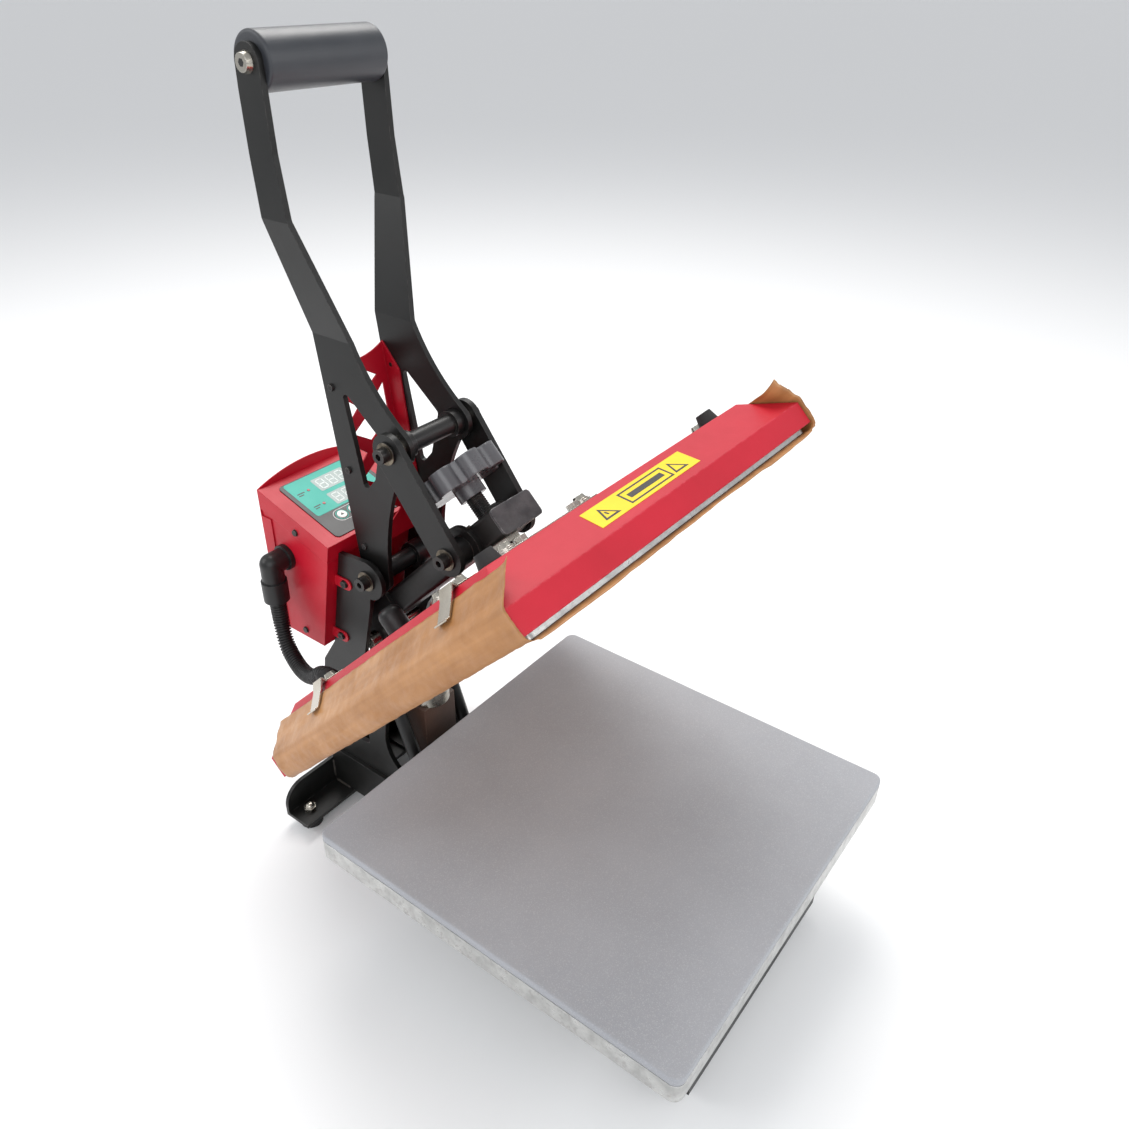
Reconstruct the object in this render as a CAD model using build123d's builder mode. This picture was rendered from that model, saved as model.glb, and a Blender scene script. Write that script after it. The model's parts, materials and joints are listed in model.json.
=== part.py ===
from build123d import *
from math import atan2, cos, degrees, hypot, pi, radians, sin, tan
import os

# Auto-opening clamshell heat press with a 38 x 38 cm working surface, modelled open.
# Millimetres. X runs to the user's right, Y to the rear, Z up; the origin is on the table,
# under the middle of the machine. Every solid is placed from the arm hinge.

os.makedirs("parts", exist_ok=True)

# --- overall sizes ---
platen_width = 380.0        # X size of pad, board and heating plate
platen_depth = 380.0        # Y size of the same three
hinge_setback = 76.6        # arm hinge behind the rear edge of the pad
box_setback = 115.9         # rearmost point of the control box behind the hinge

# --- stack under the pad ---
foot_height = 13.0
leg_gauge = 4.0
rail_height = 50.0
beam_height = 53.0
board_thickness = 20.0
pad_thickness = 8.0
corner_radius = 9.0

# --- clearances ---
run_clear = 0.05            # radial, shoulder screws and pins in their holes
screw_clear = 0.10          # radial, pressure screw and guide stud
part_gap = 0.3              # faces of different moving pieces that pass each other
closed_gap = 0.5            # sheet above pad when the press is shut

# --- sheet and plate gauges ---
plate_gauge = 5.0           # side plates, handle plates, arm plates
link_gauge = 6.0
sheet_gauge = 1.5           # red folded steel
lid_gauge = 1.2

# --- X stack of the mechanism ---
handle_inner = 33.0         # inner face of the lower handle plates
base_inner = 45.0           # inner face of the side plates
link_inner = 44.0           # inner face of the links
spread_outer = 62.0         # outer face of the handle plates at the grip

# --- pivots, seen from the side, from the arm hinge ---
crank_pivot = (-14.6, 167.4)        # handle on the side plates
arm_pin_closed = (-249.8, 77.0)     # link on the arm, press shut
crank_length = 151.4
arm_open_angle = 45.69              # arm above its shut position when the press is open
hinge_above_pad = 4.4

# --- screws ---
shoulder_radius = 5.0
head_radius = 6.5
head_height = 8.0
washer_radius = 10.0
washer_gauge = 1.5
spacer_radius = 11.5

# --- derived places ---
pad_top = foot_height + leg_gauge + rail_height + beam_height + board_thickness + pad_thickness
total_depth = platen_depth + hinge_setback + box_setback
pad_y = platen_depth / 2 - total_depth / 2
hinge_y = pad_y + platen_depth / 2 + hinge_setback
hinge_z = pad_top + hinge_above_pad
pad_centre = pad_y - hinge_y        # middle of the pad from the hinge
pin_run = hypot(arm_pin_closed[0] - crank_pivot[0], arm_pin_closed[1] - crank_pivot[1])
link_length = pin_run - crank_length     # crank and link lie in line when the press is shut


def polar(origin, length, angle):
    return (origin[0] + length * cos(radians(angle)), origin[1] + length * sin(radians(angle)))


def direction(start, end):
    return degrees(atan2(end[1] - start[1], end[0] - start[0]))


def circles_meet(first, first_radius, second, second_radius):
    """Crossing of two circles that lies to the left of the line from first to second."""
    span = hypot(second[0] - first[0], second[1] - first[1])
    along = (span**2 + first_radius**2 - second_radius**2) / (2 * span)
    angle = degrees(atan2((first_radius**2 - along**2) ** 0.5, along))
    return polar(first, first_radius, direction(first, second) + angle)


arm_pin = polar((0, 0), hypot(*arm_pin_closed), direction((0, 0), arm_pin_closed) - arm_open_angle)
link_pivot = circles_meet(arm_pin, link_length, crank_pivot, crank_length)
handle_open_angle = direction(crank_pivot, link_pivot)
arm_travel = arm_open_angle
handle_travel = direction(crank_pivot, arm_pin_closed) % 360 - handle_open_angle
link_travel = direction(crank_pivot, arm_pin_closed) % 360 - direction(link_pivot, arm_pin) % 360

arm_rear = (0, cos(radians(arm_travel)), -sin(radians(arm_travel)))
arm_up = (0, sin(radians(arm_travel)), cos(radians(arm_travel)))


def base_point(x, y, z):
    """World point of a place given from the hinge."""
    return (x, hinge_y + y, hinge_z + z)


def arm_point(x, y, z):
    """World point of a place on the arm, given from the hinge as if the press were shut."""
    return (x, hinge_y + y * arm_rear[1] + z * arm_up[1], hinge_z + y * arm_rear[2] + z * arm_up[2])


def side_plane(x):
    """Side view plane through the hinge: local x to the rear, local y up, normal +X."""
    return Plane(origin=base_point(x, 0, 0), x_dir=(0, 1, 0), z_dir=(1, 0, 0))


def arm_side_plane(x):
    return Plane(origin=arm_point(x, 0, 0), x_dir=arm_rear, z_dir=(1, 0, 0))


def arm_level(z, y=0.0, x=0.0):
    """Plane parallel to the heated platen, at the given place on the arm."""
    return Plane(origin=arm_point(x, y, z), x_dir=(1, 0, 0), z_dir=arm_up)


def level(z, y=0.0, x=0.0):
    """Horizontal plane at height z over the table; y from the hinge."""
    return Plane(origin=(x, hinge_y + y, z), x_dir=(1, 0, 0), z_dir=(0, 0, 1))


def save(builder, name):
    builder.part.label = name
    export_step(builder.part, f"parts/{name}.step")


def rounded_plate(width, depth, thickness, radius, plane):
    with BuildPart() as plate:
        with BuildSketch(plane):
            RectangleRounded(width, depth, radius)
        extrude(amount=thickness)
    return plate


def shoulder_screws(places, washer_face, shank_end, spacer=(0.0, 0.0)):
    """Socket-head shoulder screws with washers, one at each (y, z) on both sides."""
    with BuildPart() as screws:
        for side in (-1, 1):
            for y, z in places:
                if spacer[1] > spacer[0]:
                    with BuildSketch(Plane(base_point(side * spacer[0], y, z), z_dir=(side, 0, 0))):
                        Circle(spacer_radius)
                    extrude(amount=spacer[1] - spacer[0])
                head_face = washer_face + washer_gauge
                with BuildSketch(Plane(base_point(side * washer_face, y, z), z_dir=(side, 0, 0))):
                    Circle(washer_radius)
                    Circle(shoulder_radius, mode=Mode.SUBTRACT)
                extrude(amount=washer_gauge)
                with BuildSketch(Plane(base_point(side * shank_end, y, z), z_dir=(side, 0, 0))):
                    Circle(shoulder_radius)
                extrude(amount=head_face - shank_end)
                with BuildSketch(Plane(base_point(side * head_face, y, z), z_dir=(side, 0, 0))):
                    Circle(head_radius)
                extrude(amount=head_height)
                socket_face = head_face + head_height
                with BuildSketch(Plane(base_point(side * socket_face, y, z), z_dir=(-side, 0, 0))):
                    RegularPolygon(radius=head_radius * 0.5, side_count=6)
                extrude(amount=head_height * 0.6, mode=Mode.SUBTRACT)
    return screws


# ---------------------------------------------------------------- base frame
rail_thickness = 5.0
rail_flange = 30.0
rail_front = pad_centre - 165.0     # front end of the rails
frame_rear = 71.4                   # rear edge of side plates and rails
leg_depth = 34.0
leg_reach = 122.0                   # half length of a leg angle
leg_wall_height = 37.0
leg_corner = 24.0
foot_x = 104.0
foot_radius = 12.0
bolt_radius = 4.0
base_outer = base_inner + plate_gauge
rail_bottom = foot_height + leg_gauge
spring_pin_place = (-60.0, -90.0)
spring_pin_radius = 4.0

# Control box seen from the side
box_front_top = (20.1, 195.9)
box_rear_y = box_setback - 2.0 - lid_gauge
box_floor_z = 69.6
box_half_width = 62.0
box_top_slope = 17.4
box_front_lean = 12.0
box_rear_top = (box_rear_y, box_front_top[1] + (box_rear_y - box_front_top[0]) * tan(radians(box_top_slope)))


def box_front_at(z):
    """Y of the sloping front of the control box at height z."""
    return box_front_top[0] + (box_front_top[1] - z) * tan(radians(box_front_lean))


def plate_rear_at(z):
    """Y of the side plates' rear edge, just clear of the lid's front skirt."""
    return box_front_at(z) - lid_gauge - part_gap


def make_side_plate(side):
    ear = 20.0
    foot_z = rail_bottom + rail_thickness - hinge_z
    toe_z = pad_top - board_thickness - pad_thickness - beam_height - 6.0 - hinge_z
    toe_y = pad_centre + 66.0
    with BuildPart() as plate:
        with BuildSketch(side_plane(side * base_inner)):
            with BuildLine():
                front = Polyline(
                    (crank_pivot[0] - 2, crank_pivot[1] - ear),
                    (crank_pivot[0], crank_pivot[1] - ear - 12),
                    (4, 62), (4, 46),
                )
                hip = ThreePointArc(front @ 1, (-13, 27), (-20, 4))
                knee = Line(hip @ 1, (-15, -30))
                toe = ThreePointArc(knee @ 1, (-26, -60), (-58, -76))
                Polyline(toe @ 1, (-76, toe_z), (toe_y, toe_z), (toe_y, foot_z), (frame_rear, foot_z),
                         (frame_rear, 8), (66, 38), (plate_rear_at(box_floor_z), box_floor_z),
                         (plate_rear_at(crank_pivot[1] + ear - 3), crank_pivot[1] + ear - 3),
                         (crank_pivot[0], crank_pivot[1] + ear),
                         (crank_pivot[0] - 2, crank_pivot[1] - ear))
            make_face()
            with Locations(crank_pivot):
                Circle(ear)
            with BuildLine(mode=Mode.ADD):
                Polyline((10, -52), (54, -52), (54, -24), (10, -24), close=True)
            make_face(mode=Mode.SUBTRACT)
            with Locations(crank_pivot, (0, 0)):
                Circle(shoulder_radius, mode=Mode.SUBTRACT)
            with Locations(spring_pin_place):
                Circle(spring_pin_radius, mode=Mode.SUBTRACT)
        extrude(amount=side * plate_gauge)
        window = plate.edges().filter_by(Axis.X).filter_by_position(Axis.Y, hinge_y + 9, hinge_y + 55)
        fillet(window.filter_by_position(Axis.Z, hinge_z - 53, hinge_z - 23), radius=5)
    return plate


def make_rails():
    with BuildPart() as rails:
        with BuildSketch(Plane(origin=base_point(0, rail_front, rail_bottom - hinge_z), x_dir=(1, 0, 0),
                               z_dir=(0, 1, 0))):
            for side in (-1, 1):
                wall_x = side * (base_outer + rail_thickness / 2)
                with Locations((wall_x, -rail_height / 2)):
                    Rectangle(rail_thickness, rail_height)
                with Locations((side * (base_outer + rail_thickness - rail_flange / 2),
                                -rail_thickness / 2)):
                    Rectangle(rail_flange, rail_thickness)
        extrude(amount=frame_rear - rail_front)
    return rails


def make_legs():
    """Angle across each end of the rails, its upright wall outermost."""
    with BuildPart() as legs:
        for end_face, facing in ((frame_rear, 1), (rail_front, -1)):
            middle = end_face - facing * (leg_depth / 2 - leg_gauge)
            with BuildSketch(level(foot_height, middle)):
                Rectangle(2 * leg_reach, leg_depth)
                with Locations((foot_x, foot_place(end_face, facing) - middle)):
                    Circle(bolt_radius, mode=Mode.SUBTRACT)
                with Locations((-foot_x, foot_place(end_face, facing) - middle)):
                    Circle(bolt_radius, mode=Mode.SUBTRACT)
            extrude(amount=leg_gauge)
            with BuildSketch(side_plane(-leg_reach)):
                with Locations((end_face + facing * leg_gauge / 2,
                                foot_height - hinge_z + leg_wall_height / 2)):
                    Rectangle(leg_gauge, leg_wall_height)
            extrude(amount=2 * leg_reach)
        fillet(legs.edges().filter_by(Axis.Y).group_by(Axis.Z)[-1], radius=leg_corner)
    return legs


def foot_place(wall_face, facing):
    return wall_face - facing * 13.0


rear_foot_y = foot_place(frame_rear, 1)
front_foot_y = foot_place(rail_front, -1)


def make_feet():
    with BuildPart() as feet:
        for y in (rear_foot_y, front_foot_y):
            for x in (foot_x, -foot_x):
                with BuildSketch(Plane(origin=(x, hinge_y + y, 0), x_dir=(1, 0, 0), z_dir=(0, -1, 0))):
                    Polygon((0, 0), (foot_radius, 0), (foot_radius - 2, foot_height), (0, foot_height),
                            align=None)
                revolve(axis=Axis((x, hinge_y + y, 0), (0, 0, 1)))
                with BuildSketch(level(2, y, x)):
                    Circle(4.0)
                extrude(amount=foot_height, mode=Mode.SUBTRACT)
    return feet


def make_foot_bolts():
    with BuildPart() as bolts:
        for y in (rear_foot_y, front_foot_y):
            for x in (foot_x, -foot_x):
                with BuildSketch(level(2, y, x)):
                    Circle(4.0)
                extrude(amount=foot_height + leg_gauge - 2)
                with BuildSketch(level(foot_height + leg_gauge, y, x)):
                    RegularPolygon(radius=7.0, side_count=6)
                extrude(amount=5)
                with BuildSketch(level(foot_height + leg_gauge + 5, y, x)):
                    Circle(5.2)
                extrude(amount=4.5)
                fillet(bolts.edges().filter_by(GeomType.CIRCLE).group_by(Axis.Z)[-1], radius=4)
    return bolts


def make_cross_beams():
    """Two inverted channels across the rails that carry the board."""
    beam_z = rail_bottom + rail_height
    with BuildPart() as beams:
        for y in (pad_centre - 110, pad_centre + 110):
            with BuildSketch(Plane(origin=base_point(-150, y, beam_z - hinge_z), x_dir=(0, 1, 0),
                                   z_dir=(1, 0, 0))):
                with Locations((0, beam_height / 2)):
                    Rectangle(40, beam_height)
                with Locations((0, (beam_height - 3) / 2)):
                    Rectangle(34, beam_height - 3, mode=Mode.SUBTRACT)
                for flank in (-1, 1):
                    with Locations((flank * 26, 1.5)):
                        Rectangle(14, 3)
            extrude(amount=300)
    return beams


magnet_y = -34.6
magnet_radius = 20.0
magnet_height = 30.0
magnet_top = 35.6                   # face of the magnet, from the hinge


def make_magnet_bracket():
    """Cross plate between the side plates with the folded post that holds the magnet."""
    plate_z = 46.0
    post_top = hinge_z + magnet_top - magnet_height
    with BuildPart() as bracket:
        with BuildSketch(level(plate_z, magnet_y - 6)):
            Rectangle(2 * base_inner, 46)
        extrude(amount=plate_gauge)
        with BuildSketch(level(plate_z + plate_gauge, magnet_y)):
            Rectangle(44, 26)
            with Locations((0, 4)):
                Rectangle(36, 26, mode=Mode.SUBTRACT)
        extrude(amount=post_top - plate_z - plate_gauge - 5)
        with BuildSketch(level(post_top - 5, magnet_y)):
            Rectangle(44, 26)
        extrude(amount=5)
    return bracket


def make_electromagnet():
    bottom = hinge_z + magnet_top - magnet_height
    with BuildPart() as magnet:
        with BuildSketch(level(bottom, magnet_y)):
            Circle(magnet_radius)
        extrude(amount=magnet_height)
        with BuildSketch(level(bottom + magnet_height, magnet_y)):
            Circle(magnet_radius - 4)
            Circle(magnet_radius - 9, mode=Mode.SUBTRACT)
        extrude(amount=-2, mode=Mode.SUBTRACT)
    return magnet


def make_spring_pin_lower():
    y, z = spring_pin_place
    with BuildPart() as pin:
        with BuildSketch(Plane(base_point(-base_outer, y, z), z_dir=(1, 0, 0))):
            Circle(spring_pin_radius)
        extrude(amount=2 * base_outer)
        chamfer(pin.edges().filter_by(GeomType.CIRCLE), length=0.8)
    return pin


def make_board():
    board_z = pad_top - pad_thickness - board_thickness
    board = rounded_plate(platen_width, platen_depth, board_thickness, corner_radius,
                          level(board_z, pad_centre))
    return board


def make_pad():
    return rounded_plate(platen_width, platen_depth, pad_thickness, corner_radius,
                         level(pad_top - pad_thickness, pad_centre))


# ---------------------------------------------------------------- control box
lid_skirt = 18.0
lid_normal = (0, -sin(radians(box_top_slope)), cos(radians(box_top_slope)))
panel_width = 94.0
panel_length = 84.5
panel_gauge = 0.8
panel_margin = 4.0
button_radius = 5.0
button_pitch = 14.5
button_row = 25.8                   # from the front edge of the lid, along its slope
button_proud = 1.0
button_depth = 4.5
button_count = 4
gland_place = (85.2, 162.0)         # elbow gland on the left side of the box
gland_drop_x = -81.0                # X of the elbow's downward axis
conduit_radius = 8.0
tab_heights = (152.0, 84.0)
inlet_z = 112.0
lid_outer_half = box_half_width + lid_gauge
box_screw_radius = 1.5
box_low_screw = (box_rear_y - 40, box_floor_z + 9)
box_lid_screw = (box_front_top[0] + 44, box_front_top[1] + 44 * tan(radians(box_top_slope)) - 13)


def lid_plane(offset=0.0, along=0.0, x=0.0):
    """Plane on the lid: local y runs up the slope; offset is along its normal."""
    slope = radians(box_top_slope)
    y = box_front_top[0] + along * cos(slope) - offset * sin(slope)
    z = box_front_top[1] + along * sin(slope) + offset * cos(slope)
    return Plane(origin=base_point(x, y, z), x_dir=(1, 0, 0), z_dir=lid_normal)


def box_outline(grow):
    """Side outline of the control box, grown outwards at the front and the top."""
    slope = radians(box_top_slope)
    front_floor = (box_front_at(box_floor_z) - grow, box_floor_z)
    front_top = (box_front_top[0] - grow, box_front_top[1] + grow * (1 / cos(slope) - tan(slope)))
    rear_top = (box_rear_y, box_rear_top[1] + grow / cos(slope))
    return [front_floor, front_top, rear_top, (box_rear_y, box_floor_z)]


def make_box_body():
    with BuildPart() as body:
        with BuildSketch(side_plane(-box_half_width)):
            Polygon(*box_outline(0), align=None)
        extrude(amount=2 * box_half_width)
        openings = [body.faces().sort_by(Axis.Y)[-1], body.faces().sort_by(Axis.Z)[-1]]
        offset(amount=-sheet_gauge, openings=openings)
        with BuildSketch(Plane(base_point(-box_half_width, *gland_place), z_dir=(1, 0, 0))):
            Circle(conduit_radius + 1)
        extrude(amount=sheet_gauge, mode=Mode.SUBTRACT)
        with BuildSketch(side_plane(-box_half_width)):
            with Locations(box_low_screw):
                Circle(box_screw_radius)
        extrude(amount=2 * box_half_width, mode=Mode.SUBTRACT)
        for side in (-1, 1):
            for z in tab_heights:
                front = box_front_at(z)
                with BuildSketch(side_plane(side * base_outer)):
                    with Locations((front - 7, z)):
                        Rectangle(18, 12)
                    with Locations((front - 16, z)):
                        Circle(6)
                    with Locations((front - 13, z)):
                        SlotCenterToCenter(5, 5, mode=Mode.SUBTRACT)
                extrude(amount=side * sheet_gauge)
    return body


def make_box_lid():
    slope = radians(box_top_slope)
    drop = lid_skirt / cos(slope)
    front_top = (box_front_top[0] - 3 * lid_gauge, box_front_top[1] - 3 * lid_gauge * tan(slope))
    rear_top = box_rear_top
    with BuildPart() as lid:
        with BuildSketch(side_plane(-lid_outer_half)):
            Polygon(*box_outline(lid_gauge), align=None)
            Polygon((front_top[0], front_top[1] - drop), (rear_top[0] + 1, rear_top[1] - drop),
                    (rear_top[0] + 1, 0),
                    (front_top[0], 0), align=None, mode=Mode.SUBTRACT)
        extrude(amount=2 * lid_outer_half)
        with BuildSketch(side_plane(-box_half_width)):
            Polygon(*box_outline(0), align=None)
        extrude(amount=2 * box_half_width, mode=Mode.SUBTRACT)
        with BuildSketch(lid_plane(-5, button_row)):
            with GridLocations(button_pitch, 1, button_count, 1):
                Circle(button_radius + part_gap)
        extrude(amount=10, mode=Mode.SUBTRACT)
        with BuildSketch(side_plane(-lid_outer_half)):
            with Locations(box_lid_screw):
                Circle(box_screw_radius)
        extrude(amount=2 * lid_outer_half, mode=Mode.SUBTRACT)
    return lid


def make_box_back():
    """Rear cover with an arched top edge and side flanges."""
    top = box_rear_top[1] + lid_gauge
    arch = 12.0
    flange_top = box_rear_top[1] - lid_skirt / cos(radians(box_top_slope)) - 8.0
    back_plane = Plane(origin=base_point(0, box_rear_y, 0), x_dir=(-1, 0, 0), z_dir=(0, 1, 0))
    with BuildPart() as back:
        with BuildSketch(back_plane):
            with BuildLine():
                sill = Polyline((-lid_outer_half, top), (-lid_outer_half, box_floor_z),
                                (lid_outer_half, box_floor_z),
                                (lid_outer_half, top))
                ThreePointArc(sill @ 1, (0, top + arch), sill @ 0)
            make_face()
            with Locations((0, inlet_z)):
                Rectangle(52, 26, mode=Mode.SUBTRACT)
        extrude(amount=lid_gauge)
        for side in (-1, 1):
            with BuildSketch(side_plane(side * box_half_width)):
                with Locations((box_rear_y - 6.5, (flange_top + box_floor_z) / 2)):
                    Rectangle(13, flange_top - box_floor_z)
            extrude(amount=side * lid_gauge)
    return back


def pan_screws(screw_list):
    """Pan-head screws; each is (plane, head radius, head height, shank radius, shank length)."""
    with BuildPart() as screws:
        for plane, head, height, shank, shank_length in screw_list:
            with BuildSketch(plane):
                Circle(head)
            extrude(amount=height, taper=18)
            with BuildSketch(plane):
                Circle(shank)
            extrude(amount=-shank_length)
    return screws


def make_box_screws():
    """Lid screws, floor screws and the four screws in the slotted tabs."""
    screw_list = []
    for side in (-1, 1):
        skirt_plane = Plane(base_point(side * lid_outer_half, *box_lid_screw), z_dir=(side, 0, 0))
        screw_list.append((skirt_plane, 3.6, 1.8, box_screw_radius, lid_gauge))
        low_plane = Plane(base_point(side * box_half_width, *box_low_screw), z_dir=(side, 0, 0))
        screw_list.append((low_plane, 3.6, 1.8, box_screw_radius, sheet_gauge))
        for z in tab_heights:
            place = base_point(side * (base_outer + sheet_gauge), box_front_at(z) - 13, z)
            screw_list.append((Plane(place, z_dir=(side, 0, 0)), 4.4, 2.4, 2.2, sheet_gauge))
    return pan_screws(screw_list)


def make_membrane():
    with BuildPart() as membrane:
        with BuildSketch(lid_plane(lid_gauge, panel_margin + panel_length / 2)):
            RectangleRounded(panel_width, panel_length, 5)
        extrude(amount=panel_gauge)
        with BuildSketch(lid_plane(0, button_row)):
            with GridLocations(button_pitch, 1, button_count, 1):
                Circle(button_radius + part_gap)
        extrude(amount=5, mode=Mode.SUBTRACT)
    return membrane


def make_button(index):
    x = (index - (button_count - 1) / 2) * button_pitch
    top = lid_gauge + panel_gauge + button_proud
    with BuildPart() as button:
        with BuildSketch(lid_plane(top, button_row, x)):
            Circle(button_radius)
        extrude(amount=-button_depth)
        fillet(button.edges().filter_by(GeomType.CIRCLE).sort_by(Axis.Z)[-1], radius=0.5)
    return button


def make_controller():
    """Circuit board under the lid and the solid-state relay on the floor of the box."""
    with BuildPart() as controller:
        with BuildSketch(lid_plane(-8, panel_margin + panel_length / 2)):
            Rectangle(96, 72)
        extrude(amount=-1.6)
        with BuildSketch(lid_plane(-9.6, panel_margin + panel_length / 2)):
            with Locations((-24, 8), (20, 14)):
                Rectangle(28, 22)
        extrude(amount=-12)
        with BuildSketch(level(hinge_z + box_floor_z + sheet_gauge, box_rear_y - 34, -18)):
            Rectangle(45, 34)
        extrude(amount=22)
    return controller


def make_inlet():
    """Mains inlet module: socket recess on one side, window for the rocker on the other."""
    face = box_rear_y + lid_gauge
    with BuildPart() as inlet:
        outer_plane = Plane(origin=base_point(0, face, inlet_z), x_dir=(-1, 0, 0), z_dir=(0, 1, 0))
        with BuildSketch(outer_plane):
            RectangleRounded(60, 32, 3)
        extrude(amount=2)
        with BuildSketch(outer_plane):
            Rectangle(51.4, 25.4)
        extrude(amount=-24)
        with BuildSketch(outer_plane.offset(2)):
            with Locations((-11, 0)):
                RectangleRounded(25, 17, 2.5)
        extrude(amount=-20, mode=Mode.SUBTRACT)
        with BuildSketch(outer_plane.offset(-18)):
            with Locations((-11, 2.5), (-18, -2.5), (-4, -2.5)):
                Rectangle(2, 4)
        extrude(amount=16)
        with BuildSketch(outer_plane.offset(2)):
            with Locations((15, 0)):
                Rectangle(rocker_width + 2 * part_gap, rocker_length + 2 * part_gap)
        extrude(amount=-16, mode=Mode.SUBTRACT)
    return inlet


rocker_width = 13.0
rocker_length = 20.0
rocker_tilt = 9.0
rocker_pivot_y = box_rear_y + lid_gauge - 3.0


def make_rocker():
    """Rocker drawn in its off position, lower half pressed in."""
    tilt = radians(rocker_tilt)
    corner = base_point(-15 - rocker_width / 2, rocker_pivot_y, inlet_z)
    pivot_plane = Plane(origin=corner, x_dir=(0, cos(tilt), -sin(tilt)), z_dir=(1, 0, 0))
    half = rocker_length / 2 - 0.9
    crest = 3.5
    with BuildPart() as rocker:
        with BuildSketch(pivot_plane):
            with BuildLine():
                back = Polyline((crest, half), (-3.0, half - 2), (-4.0, 0), (-3.0, -half + 2),
                                (crest, -half))
                ThreePointArc(back @ 1, (crest - 2.2, 0), back @ 0)
            make_face()
        extrude(amount=rocker_width)
        with BuildSketch(Plane(base_point(corner[0] - part_gap / 2, rocker_pivot_y, inlet_z),
                               z_dir=(1, 0, 0))):
            Circle(2.0)
        extrude(amount=rocker_width + part_gap)
    return rocker


def make_elbow_gland():
    y, z = gland_place
    neck_start = -lid_outer_half + lid_gauge
    with BuildPart() as gland:
        with BuildSketch(Plane(base_point(neck_start, y, z), z_dir=(-1, 0, 0))):
            Circle(13)
        extrude(amount=5)
        with BuildSketch(Plane(base_point(neck_start, y, z), z_dir=(-1, 0, 0))):
            Circle(11)
        extrude(amount=neck_start - gland_drop_x)
        with Locations(base_point(gland_drop_x, y, z)):
            Sphere(11)
        with BuildSketch(Plane(base_point(gland_drop_x, y, z), z_dir=(0, 0, -1))):
            Circle(11)
        extrude(amount=18)
        with BuildSketch(Plane(base_point(gland_drop_x, y, z - 18), z_dir=(0, 0, -1))):
            Circle(12.5)
        extrude(amount=gland_collar)
    return gland


gland_collar = 22.4
conduit_gland_x = -104.0
conduit_gland_length = 12.0

conduit_waypoints = [(-88.0, 73.0, 77.0), (-93.0, 56.0, 66.5), (-98.0, 36.0, 62.5), (-102.5, 14.0, 71.0)]


def conduit_points():
    """Route of the conduit: down out of the elbow, round behind the platen, square into its gland."""
    collar_end = gland_place[1] - 18 - gland_collar
    last = gland_plane()
    points = [Vector(*base_point(gland_drop_x, gland_place[0], collar_end))]
    points.append(Vector(*base_point(gland_drop_x, gland_place[0], collar_end - 22)))
    points.extend(Vector(*base_point(*place)) for place in conduit_waypoints)
    points.append(last.origin + last.z_dir * (conduit_gland_length + 22))
    points.append(last.origin + last.z_dir * conduit_gland_length)
    return points


def make_conduit():
    """Corrugated conduit as a plain tube: straight runs joined by arcs."""
    points = conduit_points()
    radii = []
    for before, corner, after in zip(points, points[1:], points[2:]):
        turn = (corner - before).get_angle(after - corner)
        shorter = min((corner - before).length, (after - corner).length)
        radii.append(0.45 * shorter / tan(radians(turn / 2)))
    print("conduit radii", [round(radius) for radius in radii])
    with BuildPart() as conduit:
        with BuildLine() as path:
            FilletPolyline(*points, radius=radii)
        with BuildSketch(Plane(origin=points[0], z_dir=points[1] - points[0])):
            Circle(conduit_radius)
        sweep(path=path.wires()[0])
    length = path.wires()[0].length
    print("conduit points", [(round(p.X, 1), round(p.Y, 1), round(p.Z, 1)) for p in points])
    print("conduit length", round(length), "volume ratio",
          conduit.part.volume / (pi * conduit_radius**2 * length))
    return conduit


# ---------------------------------------------------------------- handle
bend_low = 225.0                    # above the crank pivot, lower bend of the handle plates
bend_high = 320.0
grip_place = (51.0, 428.2)          # grip axis from the crank pivot
grip_radius = 21.0
crank_eye = 18.0
link_eye = 16.5
tube_radius = 9.0
collar_radius = 12.0
collar_length = 8.0
grip_end_radius = 13.3
handle_outer = handle_inner + plate_gauge
spread_inner = spread_outer - plate_gauge


def from_crank(y, z):
    return (crank_pivot[0] + y, crank_pivot[1] + z)


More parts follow.
